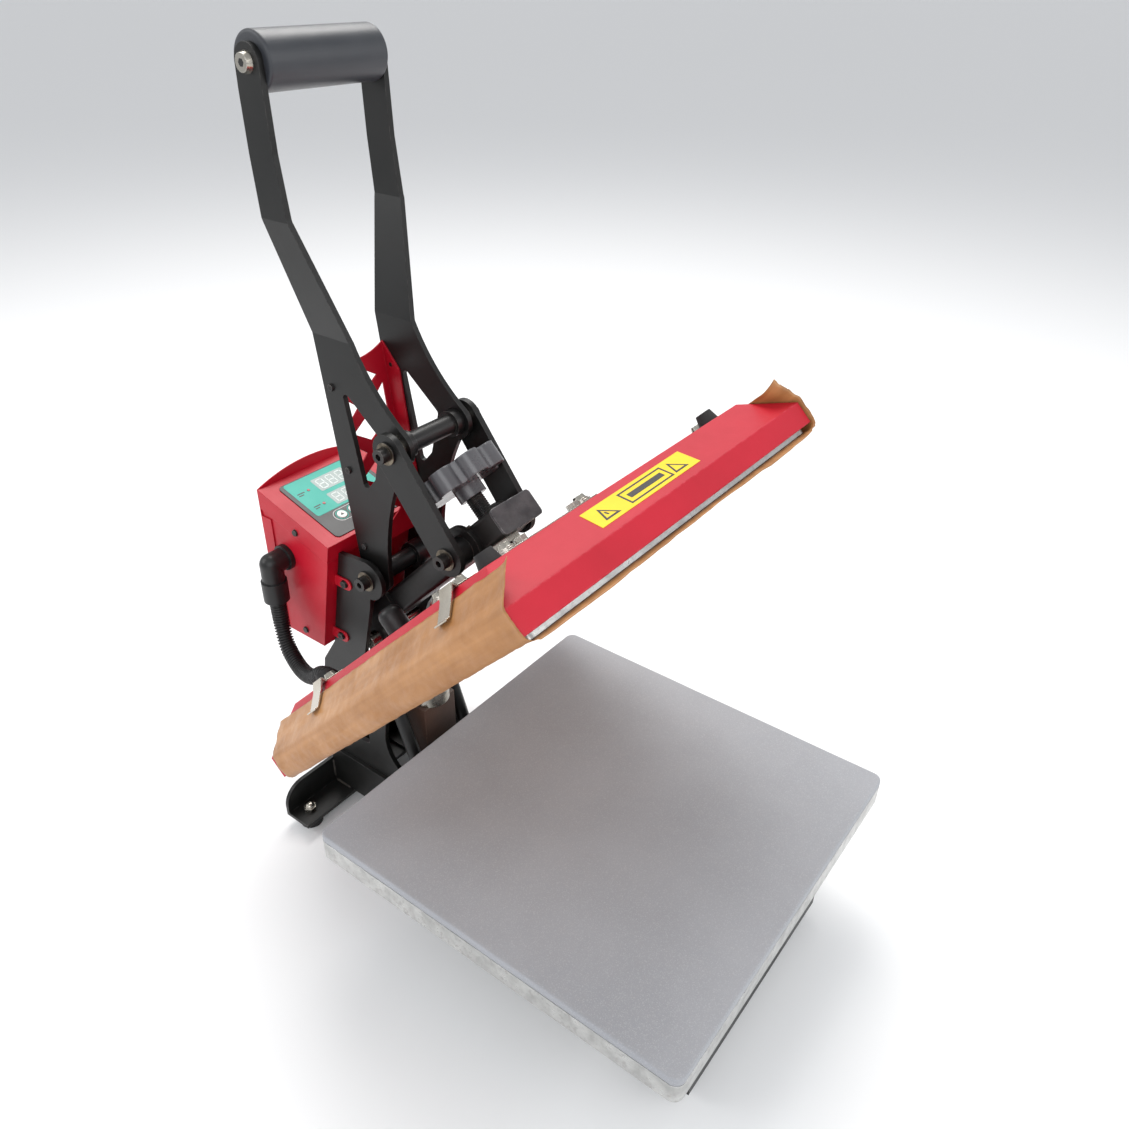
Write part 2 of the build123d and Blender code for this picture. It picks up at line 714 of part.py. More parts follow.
def make_handle_plate(side):
    """Laser-cut plate, bent outwards between its two bends to clear the grip's width."""
    lean = (spread_outer - handle_outer) / (bend_high - bend_low)
    mitre = plate_gauge * tan(atan2(lean, 1) / 2)
    top = crank_pivot[1] + grip_place[1] + grip_end_radius + 2
    low = crank_pivot[1] + bend_low
    high = crank_pivot[1] + bend_high
    foot = crank_pivot[1] - crank_eye - 2
    cy, cz = link_pivot
    grip = from_crank(*grip_place)
    with BuildPart() as plate:
        with BuildSketch(side_plane(0)):
            with BuildLine():
                rear = Polyline(from_crank(crank_eye, 3), from_crank(47, bend_low - 1.3),
                                from_crank(59.8, bend_high - 3.2),
                                from_crank(63.4, 366), from_crank(64.6, 409),
                                (grip[0] + grip_end_radius, grip[1]))
                crown = ThreePointArc(rear @ 1, (grip[0], grip[1] + grip_end_radius),
                                      (grip[0] - grip_end_radius, grip[1]))
                front = Polyline(crown @ 1, from_crank(35.6, 367.9), from_crank(30.1, bend_high + 2.7),
                                 from_crank(3, bend_low + 1.8))
                brow = ThreePointArc(front @ 1, (cy + 19.5, cz + 40), (cy - 10.5, cz + 12.7))
                eye = ThreePointArc(brow @ 1, (cy - link_eye, cz), (cy - 4, cz - 16))
                ThreePointArc(eye @ 1, from_crank(-25.5, 70), from_crank(-crank_eye, 2))
                Polyline(from_crank(-crank_eye, 2), from_crank(0, -1), from_crank(crank_eye, 3))
            make_face()
            with Locations(crank_pivot):
                Circle(crank_eye)
            with BuildLine():
                Polyline(from_crank(19.5, 184), from_crank(2, 88), from_crank(-12.5, 105),
                         (cy + 20, cz + 3), close=True)
            make_face(mode=Mode.SUBTRACT)
        extrude(amount=side * (spread_outer + 5))
        window = plate.edges().filter_by(Axis.X).filter_by_position(Axis.Y, hinge_y - 44, hinge_y + 6)
        fillet(window.filter_by_position(Axis.Z, hinge_z + 250, hinge_z + 354), radius=4)
        with BuildSketch(Plane(origin=base_point(0, -300, 0), x_dir=(1, 0, 0), z_dir=(0, -1, 0))):
            Polygon(
                (side * handle_outer, foot), (side * handle_outer, low), (side * spread_outer, high),
                (side * spread_outer, top), (side * spread_inner, top),
                (side * spread_inner, high + mitre),
                (side * handle_inner, low + mitre), (side * handle_inner, foot), align=None,
            )
        extrude(amount=-600, mode=Mode.INTERSECT)
        with BuildSketch(side_plane(0)):
            with Locations(crank_pivot):
                Circle(tube_radius)
            with Locations(link_pivot):
                Circle(shoulder_radius)
            with Locations(from_crank(*grip_place)):
                Circle(4.0)
            with Locations(*[guard_screw_place(height) for height in guard_screw_heights]):
                Circle(guard_screw_radius)
        extrude(amount=side * (spread_outer + 5), mode=Mode.SUBTRACT)
    return plate


guard_screw_heights = (28.0, 104.0, 180.0)
guard_screw_radius = 2.0
guard_bottom = 16.0
guard_top = 200.0
guard_flange = 18.0
guard_inset = 2.0
rear_edge_slope = (47.0 - 18.0) / (bend_low - 1.3 - 3.0)


def rear_edge_at(height):
    """Y of the handle's rear edge at a height above the crank pivot."""
    return crank_eye + (height - 3.0) * rear_edge_slope


def guard_screw_place(height):
    return from_crank(rear_edge_at(height) - guard_inset - 8.0, height)


def make_grip():
    y, z = from_crank(*grip_place)
    with BuildPart() as grip:
        with BuildSketch(Plane(base_point(-spread_inner, y, z), z_dir=(1, 0, 0))):
            Circle(grip_radius)
            Circle(4.0, mode=Mode.SUBTRACT)
        extrude(amount=2 * spread_inner)
        fillet(grip.edges().filter_by(GeomType.CIRCLE).sort_by(SortBy.RADIUS)[-2:], radius=2)
    return grip


def make_crank_tube():
    """Cross tube at the link pivot, with a collar against each plate."""
    with BuildPart() as tube:
        with BuildSketch(Plane(base_point(-handle_inner, *link_pivot), z_dir=(1, 0, 0))):
            Circle(tube_radius)
        extrude(amount=2 * handle_inner)
        for side in (-1, 1):
            with BuildSketch(Plane(base_point(side * handle_inner, *link_pivot), z_dir=(-side, 0, 0))):
                Circle(collar_radius)
            extrude(amount=collar_length)
            with BuildSketch(Plane(base_point(side * handle_inner, *link_pivot), z_dir=(-side, 0, 0))):
                Circle(shoulder_radius)
            extrude(amount=20, mode=Mode.SUBTRACT)
    return tube


def make_pivot_tube():
    """Tube welded through both handle plates, with the raised cam of the timer switch."""
    half = base_inner - part_gap
    with BuildPart() as tube:
        with BuildSketch(Plane(base_point(-half, *crank_pivot), z_dir=(1, 0, 0))):
            Circle(tube_radius)
        extrude(amount=2 * half)
        with BuildSketch(Plane(base_point(8, *crank_pivot), z_dir=(1, 0, 0))):
            Circle(collar_radius + 1)
        extrude(amount=18)
        with BuildSketch(Plane(base_point(-half, *crank_pivot), z_dir=(1, 0, 0))):
            Circle(shoulder_radius + run_clear)
        extrude(amount=2 * half, mode=Mode.SUBTRACT)
    return tube


def make_guard():
    """Folded channel between the handle plates, its web pierced by diamonds."""
    foot_y = rear_edge_at(guard_bottom) - guard_inset
    lean = atan2(rear_edge_slope, 1)
    up = (0, sin(lean), cos(lean))
    out = (0, cos(lean), -sin(lean))
    start = base_point(0, *from_crank(foot_y, guard_bottom))
    length = (guard_top - guard_bottom) / cos(lean)
    web_plane = Plane(origin=start, x_dir=(-1, 0, 0), z_dir=out)
    with BuildPart() as guard:
        with BuildSketch(Plane(origin=start, x_dir=(-1, 0, 0), z_dir=up)):
            with Locations((0, guard_flange / 2)):
                Rectangle(2 * handle_inner, guard_flange)
            with Locations((0, guard_flange / 2 + sheet_gauge)):
                Rectangle(2 * (handle_inner - sheet_gauge), guard_flange, mode=Mode.SUBTRACT)
        extrude(amount=length)
        diamond_pitch = 44.0
        with BuildSketch(web_plane):
            for row in range(4):
                with Locations((0, 26 + row * diamond_pitch)):
                    Polygon((-19, 0), (0, 12), (19, 0), (0, -12), align=None)
        extrude(amount=-4 * sheet_gauge, mode=Mode.SUBTRACT)
        with BuildSketch(web_plane):
            for row in range(3):
                for side in (-1, 1):
                    with Locations((0, 26 + (row + 0.5) * diamond_pitch)):
                        Polygon((side * 25, -14), (side * 25, 14), (side * 8, 0), align=None)
        extrude(amount=-2 * sheet_gauge, mode=Mode.SUBTRACT)
        with BuildSketch(web_plane):
            with BuildLine():
                sweep_line = ThreePointArc((-handle_inner, length), (0, length - 8),
                                           (handle_inner, length))
                Polyline(sweep_line @ 1, (handle_inner, length + 5), (-handle_inner, length + 5),
                         sweep_line @ 0)
            make_face()
        extrude(amount=-4 * sheet_gauge, mode=Mode.SUBTRACT)
        with BuildSketch(Plane(origin=start, x_dir=out, z_dir=(1, 0, 0)).offset(-handle_inner - 1)):
            Polygon((-guard_flange - 1, length - 26), (-sheet_gauge, length + 1),
                    (-guard_flange - 1, length + 1), align=None)
        extrude(amount=2 * handle_inner + 2, mode=Mode.SUBTRACT)
        with BuildSketch(side_plane(-handle_inner)):
            with Locations(*[guard_screw_place(height) for height in guard_screw_heights]):
                Circle(guard_screw_radius)
        extrude(amount=2 * handle_inner, mode=Mode.SUBTRACT)
    return guard


def make_handle_screws():
    """Grip screws and the six guard screws."""
    screw_list = []
    for side in (-1, 1):
        place = from_crank(*grip_place)
        screw_list.append((Plane(base_point(side * spread_outer, *place), z_dir=(side, 0, 0)), 8.0, 4.5,
                           4.0, 24))
        for height in guard_screw_heights:
            place = guard_screw_place(height)
            plane = Plane(base_point(side * handle_outer, *place), z_dir=(side, 0, 0))
            screw_list.append((plane, 3.6, 2.0, guard_screw_radius, plate_gauge + sheet_gauge))
    return pan_screws(screw_list)


def make_crank_screws():
    """Shoulder screws, washers and bright spacers of the upper link pivot."""
    washer_face = link_inner + link_gauge + part_gap
    return shoulder_screws([link_pivot], washer_face, handle_inner - 19,
                           (handle_outer, link_inner - part_gap))


# ---------------------------------------------------------------- links
def make_link(side):
    along = direction(link_pivot, arm_pin)
    middle = ((link_pivot[0] + arm_pin[0]) / 2, (link_pivot[1] + arm_pin[1]) / 2)
    with BuildPart() as link:
        with BuildSketch(side_plane(side * link_inner)):
            with Locations(Location((middle[0], middle[1], 0), (0, 0, along))):
                SlotCenterToCenter(link_length, 2 * link_eye)
            with Locations(link_pivot):
                Circle(shoulder_radius + run_clear, mode=Mode.SUBTRACT)
            with Locations(arm_pin):
                Circle(shoulder_radius, mode=Mode.SUBTRACT)
        extrude(amount=side * link_gauge)
    return link


def make_link_screws():
    """Screws of the lower link pivot; their stubs end short of the arm's bosses."""
    return shoulder_screws([arm_pin], link_inner + link_gauge, link_inner - part_gap)


# ---------------------------------------------------------------- arm
tube_width = 50.0
tube_height = 25.0
tube_wall = 2.5
tube_z = arm_pin_closed[1]          # tube centre, press shut
tube_front = pad_centre - 33.0
tube_rear = -60.0
cap_flange = 2.5
ear_radius = 21.0
spring_pin_gap = 0.5                # upper spring pin under the tube
spring_arm_pin = (tube_rear, tube_z - tube_height / 2 - spring_pin_radius - spring_pin_gap)
sleeve_radius = 12.0
stud_y = pad_centre + 82.0
stud_radius = 4.0
screw_radius = 7.5
bush_height = 5.0
boss_radius = 13.0


def make_arm_tube():
    with BuildPart() as tube:
        front_plane = Plane(origin=arm_point(0, tube_front, tube_z), x_dir=(1, 0, 0), z_dir=arm_rear)
        with BuildSketch(front_plane):
            RectangleRounded(tube_width, tube_height, 4)
            RectangleRounded(tube_width - 2 * tube_wall, tube_height - 2 * tube_wall, 1.5,
                             mode=Mode.SUBTRACT)
        extrude(amount=tube_rear - tube_front)
        with BuildSketch(arm_level(tube_z - tube_height / 2 - 1, pad_centre)):
            Circle(bush_outer)
        extrude(amount=tube_height + 2, mode=Mode.SUBTRACT)
        with BuildSketch(arm_level(tube_z - tube_height / 2 - 1, stud_y)):
            Circle(stud_radius + screw_clear)
        extrude(amount=tube_wall + 2, mode=Mode.SUBTRACT)
    return tube


bush_outer = 11.5


def make_end_cap():
    with BuildPart() as cap:
        face = Plane(origin=arm_point(0, tube_front, tube_z), x_dir=(1, 0, 0), z_dir=arm_rear)
        with BuildSketch(face):
            RectangleRounded(tube_width, tube_height, 4)
        extrude(amount=-cap_flange)
        with BuildSketch(face):
            RectangleRounded(tube_width - 2 * tube_wall - 0.2, tube_height - 2 * tube_wall - 0.2, 1.2)
        extrude(amount=10)
    return cap


def make_arm_plates():
    """Ears at the link pins and brackets down to the hinge sleeve, welded to the tube's sides."""
    half = tube_width / 2
    py, pz = arm_pin_closed
    top = tube_z + tube_height / 2
    under = tube_z - tube_height / 2
    with BuildPart() as plates:
        for side in (-1, 1):
            with BuildSketch(arm_side_plane(side * half)):
                with Locations((py, pz)):
                    Circle(ear_radius)
                with Locations((py, under - ear_radius / 2)):
                    Rectangle(3 * ear_radius, ear_radius, mode=Mode.SUBTRACT)
                Polygon((-112, under + 1), (-112, top - 1), (tube_rear, top - 1), (0, 16), (0, 0),
                        (-16, 0),
                        (-70, under - 10), (-84, under - 4), align=None)
                with Locations((0, 0)):
                    Circle(sleeve_radius + 6)
                    Circle(sleeve_radius, mode=Mode.SUBTRACT)
                with Locations(spring_arm_pin):
                    Circle(spring_pin_radius, mode=Mode.SUBTRACT)
            extrude(amount=side * plate_gauge)
            with BuildSketch(arm_side_plane(side * (half + plate_gauge))):
                with Locations((py, pz)):
                    Circle(boss_radius)
            extrude(amount=side * (link_inner - 1.0 - half - plate_gauge))
    return plates


def make_hinge_sleeve():
    half = base_inner - part_gap
    with BuildPart() as sleeve:
        with BuildSketch(Plane(base_point(-half, 0, 0), z_dir=(1, 0, 0))):
            Circle(sleeve_radius)
            Circle(shoulder_radius + run_clear, mode=Mode.SUBTRACT)
        extrude(amount=2 * half)
    return sleeve


def make_screw_nut():
    """Threaded bush through the tube with a hexagon under it."""
    under = tube_z - tube_height / 2
    with BuildPart() as nut:
        with BuildSketch(arm_level(under, pad_centre)):
            Circle(bush_outer)
        extrude(amount=tube_height)
        with BuildSketch(arm_level(under, pad_centre)):
            RegularPolygon(radius=15.5, side_count=6)
        extrude(amount=-bush_height)
        with BuildSketch(arm_level(under - bush_height, pad_centre)):
            Circle(screw_radius + screw_clear)
        extrude(amount=tube_height + bush_height, mode=Mode.SUBTRACT)
    return nut


def make_armature():
    """Steel disc that the magnet holds, hung from a bar between the brackets."""
    disc = 6.0
    bar_low = 42.0
    with BuildPart() as armature:
        with BuildSketch(arm_level(magnet_top + part_gap, magnet_y)):
            Circle(magnet_radius)
        extrude(amount=disc)
        with BuildSketch(arm_level(magnet_top + part_gap + disc, magnet_y)):
            Rectangle(tube_width, 18)
        extrude(amount=bar_low + 8 - magnet_top - part_gap - disc)
    return armature


def make_spring_pin_upper():
    y, z = spring_arm_pin
    half = tube_width / 2 + plate_gauge
    with BuildPart() as pin:
        with BuildSketch(Plane(arm_point(-half, y, z), z_dir=(1, 0, 0))):
            Circle(spring_pin_radius)
        extrude(amount=2 * half)
    return pin


# ---------------------------------------------------------------- gas springs
spring_x = 37.5
spring_radius = 7.0
rod_radius = 3.0
spring_top = (spring_arm_pin[0] * arm_rear[1] + spring_arm_pin[1] * arm_up[1],
              spring_arm_pin[0] * arm_rear[2] + spring_arm_pin[1] * arm_up[2])
spring_open = hypot(spring_top[0] - spring_pin_place[0], spring_top[1] - spring_pin_place[1])
spring_shut = hypot(spring_arm_pin[0] - spring_pin_place[0], spring_arm_pin[1] - spring_pin_place[1])
spring_stroke = spring_open - spring_shut
spring_tilt_open = direction(spring_pin_place, spring_top)
spring_tilt_shut = direction(spring_pin_place, spring_arm_pin)
cylinder_start = 11.0
cylinder_end = spring_shut - 16.0
eye_radius = 7.5


def spring_plane(side):
    """Plane across the spring's axis at its lower pin, normal towards the upper pin."""
    tilt = radians(spring_tilt_open)
    return Plane(base_point(side * spring_x, *spring_pin_place), x_dir=(1, 0, 0),
                 z_dir=(0, cos(tilt), sin(tilt)))


def make_gas_cylinders():
    with BuildPart() as cylinders:
        for side in (-1, 1):
            across = spring_plane(side)
            with BuildSketch(Plane(base_point(side * (spring_x - 5), *spring_pin_place),
                                   z_dir=(side, 0, 0))):
                Circle(eye_radius)
            extrude(amount=10)
            with BuildSketch(across.offset(5)):
                Circle(3.5)
            extrude(amount=cylinder_start - 5)
            with BuildSketch(across.offset(cylinder_start)):
                Circle(spring_radius)
            extrude(amount=cylinder_end - cylinder_start)
            with BuildSketch(across.offset(cylinder_start + 4)):
                Circle(spring_radius - 1.5)
            extrude(amount=cylinder_end - cylinder_start - 8, mode=Mode.SUBTRACT)
            with BuildSketch(across.offset(cylinder_end - 5)):
                Circle(rod_radius + run_clear)
            extrude(amount=6, mode=Mode.SUBTRACT)
            with BuildSketch(Plane(base_point(side * (spring_x - 6), *spring_pin_place),
                                   z_dir=(side, 0, 0))):
                Circle(spring_pin_radius + run_clear)
            extrude(amount=12, mode=Mode.SUBTRACT)
    return cylinders


def make_gas_rods():
    """Chromed rods with their pistons; each upper eye is a solid disc beside the arm's bracket."""
    piston_place = cylinder_start + 8 + spring_stroke
    with BuildPart() as rods:
        for side in (-1, 1):
            across = spring_plane(side)
            with BuildSketch(across.offset(piston_place)):
                Circle(rod_radius)
            extrude(amount=spring_open - piston_place)
            with BuildSketch(across.offset(piston_place)):
                Circle(spring_radius - 1.5 - part_gap)
            extrude(amount=6)
            with BuildSketch(Plane(base_point(side * (spring_x - 5.5), *spring_top), z_dir=(side, 0, 0))):
                Circle(eye_radius)
            extrude(amount=11)
    return rods


# ---------------------------------------------------------------- heated platen
platen_bottom = closed_gap - hinge_above_pad + 0.4      # underside of the heating plate, press shut
heating_thickness = 12.0
insulation_thickness = 8.0
cover_bottom = platen_bottom + 4.0
cover_crease = cover_bottom + 20.0
cover_top = cover_crease + 28.0
cover_overhang = 5.0
cover_inset = 31.6
cover_half_x = platen_width / 2 + cover_overhang
cover_half_y = platen_depth / 2 + cover_overhang
cover_gauge = 1.5
mount_plate_gauge = 4.0
mount_half_x = 62.0
mount_half_y = 68.0
mount_screw_x = 50.0
mount_screw_y = 55.0
mount_top = cover_top + mount_plate_gauge
sheet_thickness = 0.4
sheet_skin_gap = 0.3
sheet_rise = 0.78                   # share of the bevel that the sheet covers
clip_y = (pad_centre - 121.0, pad_centre + 99.0)
clip_width = 16.0
clip_gauge = 1.2
clip_screw_x = cover_half_x - cover_inset - 9
bumper_places = ((143.0, -144.0), (-143.0, -144.0), (143.0, 128.0), (-143.0, 128.0))


def make_heating_plate():
    return rounded_plate(platen_width, platen_depth, heating_thickness, corner_radius,
                         arm_level(platen_bottom, pad_centre))


def make_insulation():
    with BuildPart() as board:
        with BuildSketch(arm_level(platen_bottom + heating_thickness, pad_centre)):
            RectangleRounded(platen_width - 10, platen_depth - 10, corner_radius)
            with GridLocations(2 * mount_screw_x, 2 * mount_screw_y, 2, 2):
                Circle(4.0, mode=Mode.SUBTRACT)
        extrude(amount=insulation_thickness)
    return board


def cover_block(grow, sink):
    """Cover shape as solid: upright band, then a bevel up to the flat top, grown by a gauge."""
    half_x = cover_half_x + grow
    half_y = cover_half_y + grow
    with BuildPart() as block:
        with BuildSketch(arm_level(cover_bottom - sink, pad_centre)):
            Rectangle(2 * half_x, 2 * half_y)
        extrude(amount=cover_crease - cover_bottom + sink)
        with BuildSketch(arm_level(cover_crease, pad_centre)):
            Rectangle(2 * half_x, 2 * half_y)
        with BuildSketch(arm_level(cover_top + grow, pad_centre)):
            Rectangle(2 * (half_x - cover_inset), 2 * (half_y - cover_inset))
        loft()
    return block


def gland_plane():
    """Plane on the middle of the rear bevel, normal outwards."""
    rise = cover_top - cover_crease
    tilt = atan2(cover_inset, rise)
    origin = arm_point(conduit_gland_x, pad_centre + cover_half_y - cover_inset / 2,
                       cover_crease + rise / 2)
    normal = tuple(cos(tilt) * rear + sin(tilt) * up for rear, up in zip(arm_rear, arm_up))
    return Plane(origin=origin, x_dir=(1, 0, 0), z_dir=normal)


def make_cover():
    outer = cover_block(0, 0)
    inner = cover_block(-cover_gauge, 1)
    with BuildPart() as cover:
        add(outer.part)
        add(inner.part, mode=Mode.SUBTRACT)
        with BuildSketch(arm_level(cover_top - 4, pad_centre)):
            with GridLocations(2 * mount_screw_x, 2 * mount_screw_y, 2, 2):
                Circle(5.0)
        extrude(amount=6, mode=Mode.SUBTRACT)
        with BuildSketch(gland_plane()):
            Circle(conduit_radius - 1)
        extrude(amount=-4 * cover_gauge, mode=Mode.SUBTRACT)
    return cover


def make_mount_plate():
    """Steel plate on the cover with the ring that seats the pressure screw."""
    ring_height = 2.4
    with BuildPart() as plate:
        with BuildSketch(arm_level(cover_top, pad_centre)):
            RectangleRounded(2 * mount_half_x, 2 * mount_half_y, 6)
            with GridLocations(2 * mount_screw_x, 2 * mount_screw_y, 2, 2):
                Circle(4.0, mode=Mode.SUBTRACT)
        extrude(amount=mount_plate_gauge)
        with BuildSketch(arm_level(mount_top, pad_centre)):
            Circle(19)
            Circle(screw_radius + screw_clear, mode=Mode.SUBTRACT)
        extrude(amount=ring_height)
    return plate


def make_platen_screws():
    """Mount plate screws with stacked washers, two hex screws and the clip screws."""
    shank = mount_top - platen_bottom - heating_thickness
    with BuildPart() as screws:
        for x in (-mount_screw_x, mount_screw_x):
            for y in (-mount_screw_y, mount_screw_y):
                washer = arm_level(mount_top, pad_centre + y, x)
                with BuildSketch(washer):
                    Circle(9)
                extrude(amount=1.6)
                with BuildSketch(washer):
                    Circle(7.6)
                extrude(amount=3.2)
                with BuildSketch(washer.offset(3.2)):
                    Circle(6.4)
                extrude(amount=4.2, taper=18)
                with BuildSketch(washer):
                    Circle(4.0)
                extrude(amount=-shank)
        for x in (-35, 35):
            with BuildSketch(arm_level(mount_top, pad_centre - mount_half_y + 9, x)):
                RegularPolygon(radius=6.2, side_count=6)
            extrude(amount=5)
        for side in (-1, 1):
            for y in clip_y:
                with BuildSketch(arm_level(cover_top + clip_gauge, y, side * clip_screw_x)):
                    Circle(5.5)
                extrude(amount=4.0, taper=18)
                with BuildSketch(arm_level(cover_top + clip_gauge, y, side * clip_screw_x)):
                    Circle(2.5)
                extrude(amount=-clip_gauge)
    return screws


def make_bumpers():
    with BuildPart() as bumpers:
        for x, y in bumper_places:
            with BuildSketch(arm_level(cover_top, pad_centre + y, x)):
                Circle(9.5)
            extrude(amount=10, taper=14)
    return bumpers


def bevel_point(share):
    """Side-view place on the left bevel: distance from the middle and height."""
    return (cover_half_x - cover_inset * share, cover_crease + (cover_top - cover_crease) * share)


def make_clips():
    """Spring clips: a tab under its screw, a step, and a foot that presses the sheet on the bevel."""
    edge = cover_half_x - cover_inset
    nose_x, nose_z = bevel_point(0.42)
    knee_x, knee_z = bevel_point(0.80)
    lift = 1.4
    with BuildPart() as clips:
        for y in clip_y:
            for side in (-1, 1):
                section = Plane(origin=arm_point(0, y - clip_width / 2, 0), x_dir=(side, 0, 0),
                                z_dir=arm_rear)
                flip = -1 if side > 0 else 1
                outline = [
                    (edge - 18, cover_top), (edge + 1, cover_top), (edge + 3, cover_top + 3.4),
                    (knee_x + 1.6, knee_z + 1.8), (nose_x + 1.0, nose_z + lift),
                    (nose_x + 5, nose_z + 1.6),
                    (nose_x + 5, nose_z + 2.8), (nose_x + 1.4, nose_z + lift + 1.6),
                    (knee_x + 2.4, knee_z + 3.2), (edge + 3.8, cover_top + 5.0),
                    (edge + 2.2, cover_top + 4.6),
                    (edge, cover_top + 1.2), (edge - 18, cover_top + 1.2),
                ]
                with BuildSketch(section):
                    Polygon(*[(x, flip * z) for x, z in outline], align=None)
                extrude(amount=clip_width)
                with BuildSketch(arm_level(cover_top, y, side * clip_screw_x)):
                    Circle(2.5)
                extrude(amount=clip_gauge, mode=Mode.SUBTRACT)
    return clips


def sheet_outline(grow):
    """Section of the sheet across the platen, open at the top."""
    rise_x, rise_z = bevel_point(sheet_rise)
    tilt = atan2(cover_inset, cover_top - cover_crease)
    low = platen_bottom
    base_x = cover_half_x + sheet_skin_gap
    lean = (base_x + grow, cover_crease + (sheet_skin_gap + grow) * tan(tilt / 2))
    tip = (rise_x + (sheet_skin_gap + grow) * cos(tilt), rise_z + (sheet_skin_gap + grow) * sin(tilt))
    return low - grow, base_x + grow, lean, tip


def make_sheet():
    """Release sheet: under the heating plate, up both sides and over part of each bevel."""
    low_in, x_in, lean_in, tip_in = sheet_outline(0)
    low_out, x_out, lean_out, tip_out = sheet_outline(sheet_thickness)
    half = [(x_in, low_in), lean_in, tip_in, tip_out, lean_out, (x_out, low_out)]
    mirrored = [(-x, z) for x, z in reversed(half)]
    section = Plane(origin=arm_point(0, pad_centre - platen_depth / 2 + 3, 0), x_dir=(-1, 0, 0),
                    z_dir=arm_rear)
    with BuildPart() as sheet:
        with BuildSketch(section):
            Polygon(*(half + mirrored), align=None)
        extrude(amount=platen_depth - 6)
    return sheet


def make_guide_stud():
    with BuildPart() as stud:
        with BuildSketch(arm_level(cover_top, stud_y)):
            RegularPolygon(radius=9.5, side_count=6)
        extrude(amount=4.5)
        with BuildSketch(arm_level(cover_top, stud_y)):
            Circle(stud_radius)
        extrude(amount=tube_z - cover_top - 4)
    return stud


def make_thermal_cap():
    """Domed cap over the thermal cut-out."""
    with BuildPart() as cap:
        with BuildSketch(arm_level(cover_top, pad_centre + 120, -60)):
            Circle(11.5)
        extrude(amount=27)
        fillet(cap.edges().filter_by(GeomType.CIRCLE).sort_by(Axis.Z)[-1], radius=8)
    return cap


def make_platen_gland():
    """Straight gland on the rear bevel, square to it."""
    with BuildPart() as gland:
        with BuildSketch(gland_plane()):
            RegularPolygon(radius=11.0, side_count=6)
        extrude(amount=4)
        with BuildSketch(gland_plane()):
            Circle(10.0)
        extrude(amount=conduit_gland_length - part_gap)
    return gland


# ---------------------------------------------------------------- pressure screw
knob_hub_bottom = 109.3
knob_bottom = 121.0
knob_thickness = 20.0
knob_radius = 40.0
knob_lobes = 7


def make_pressure_screw():
    bottom = mount_top + part_gap
    with BuildPart() as screw:
        with BuildSketch(arm_level(bottom, pad_centre)):
            Circle(screw_radius)
        extrude(amount=knob_hub_bottom - bottom)
        chamfer(screw.edges().filter_by(GeomType.CIRCLE).sort_by(Axis.Z)[0], length=0.6)
    return screw


def make_knob():
    with BuildPart() as knob:
        with BuildSketch(arm_level(knob_hub_bottom, pad_centre)):
            Circle(13)
        extrude(amount=knob_bottom - knob_hub_bottom)
        with BuildSketch(arm_level(knob_bottom, pad_centre)):
            Circle(knob_radius - 9)
            with PolarLocations(knob_radius - 11, knob_lobes):
                Circle(11)
            with PolarLocations(knob_radius + 3, knob_lobes, start_angle=180 / knob_lobes):
                Circle(10, mode=Mode.SUBTRACT)
        extrude(amount=knob_thickness)
    return knob


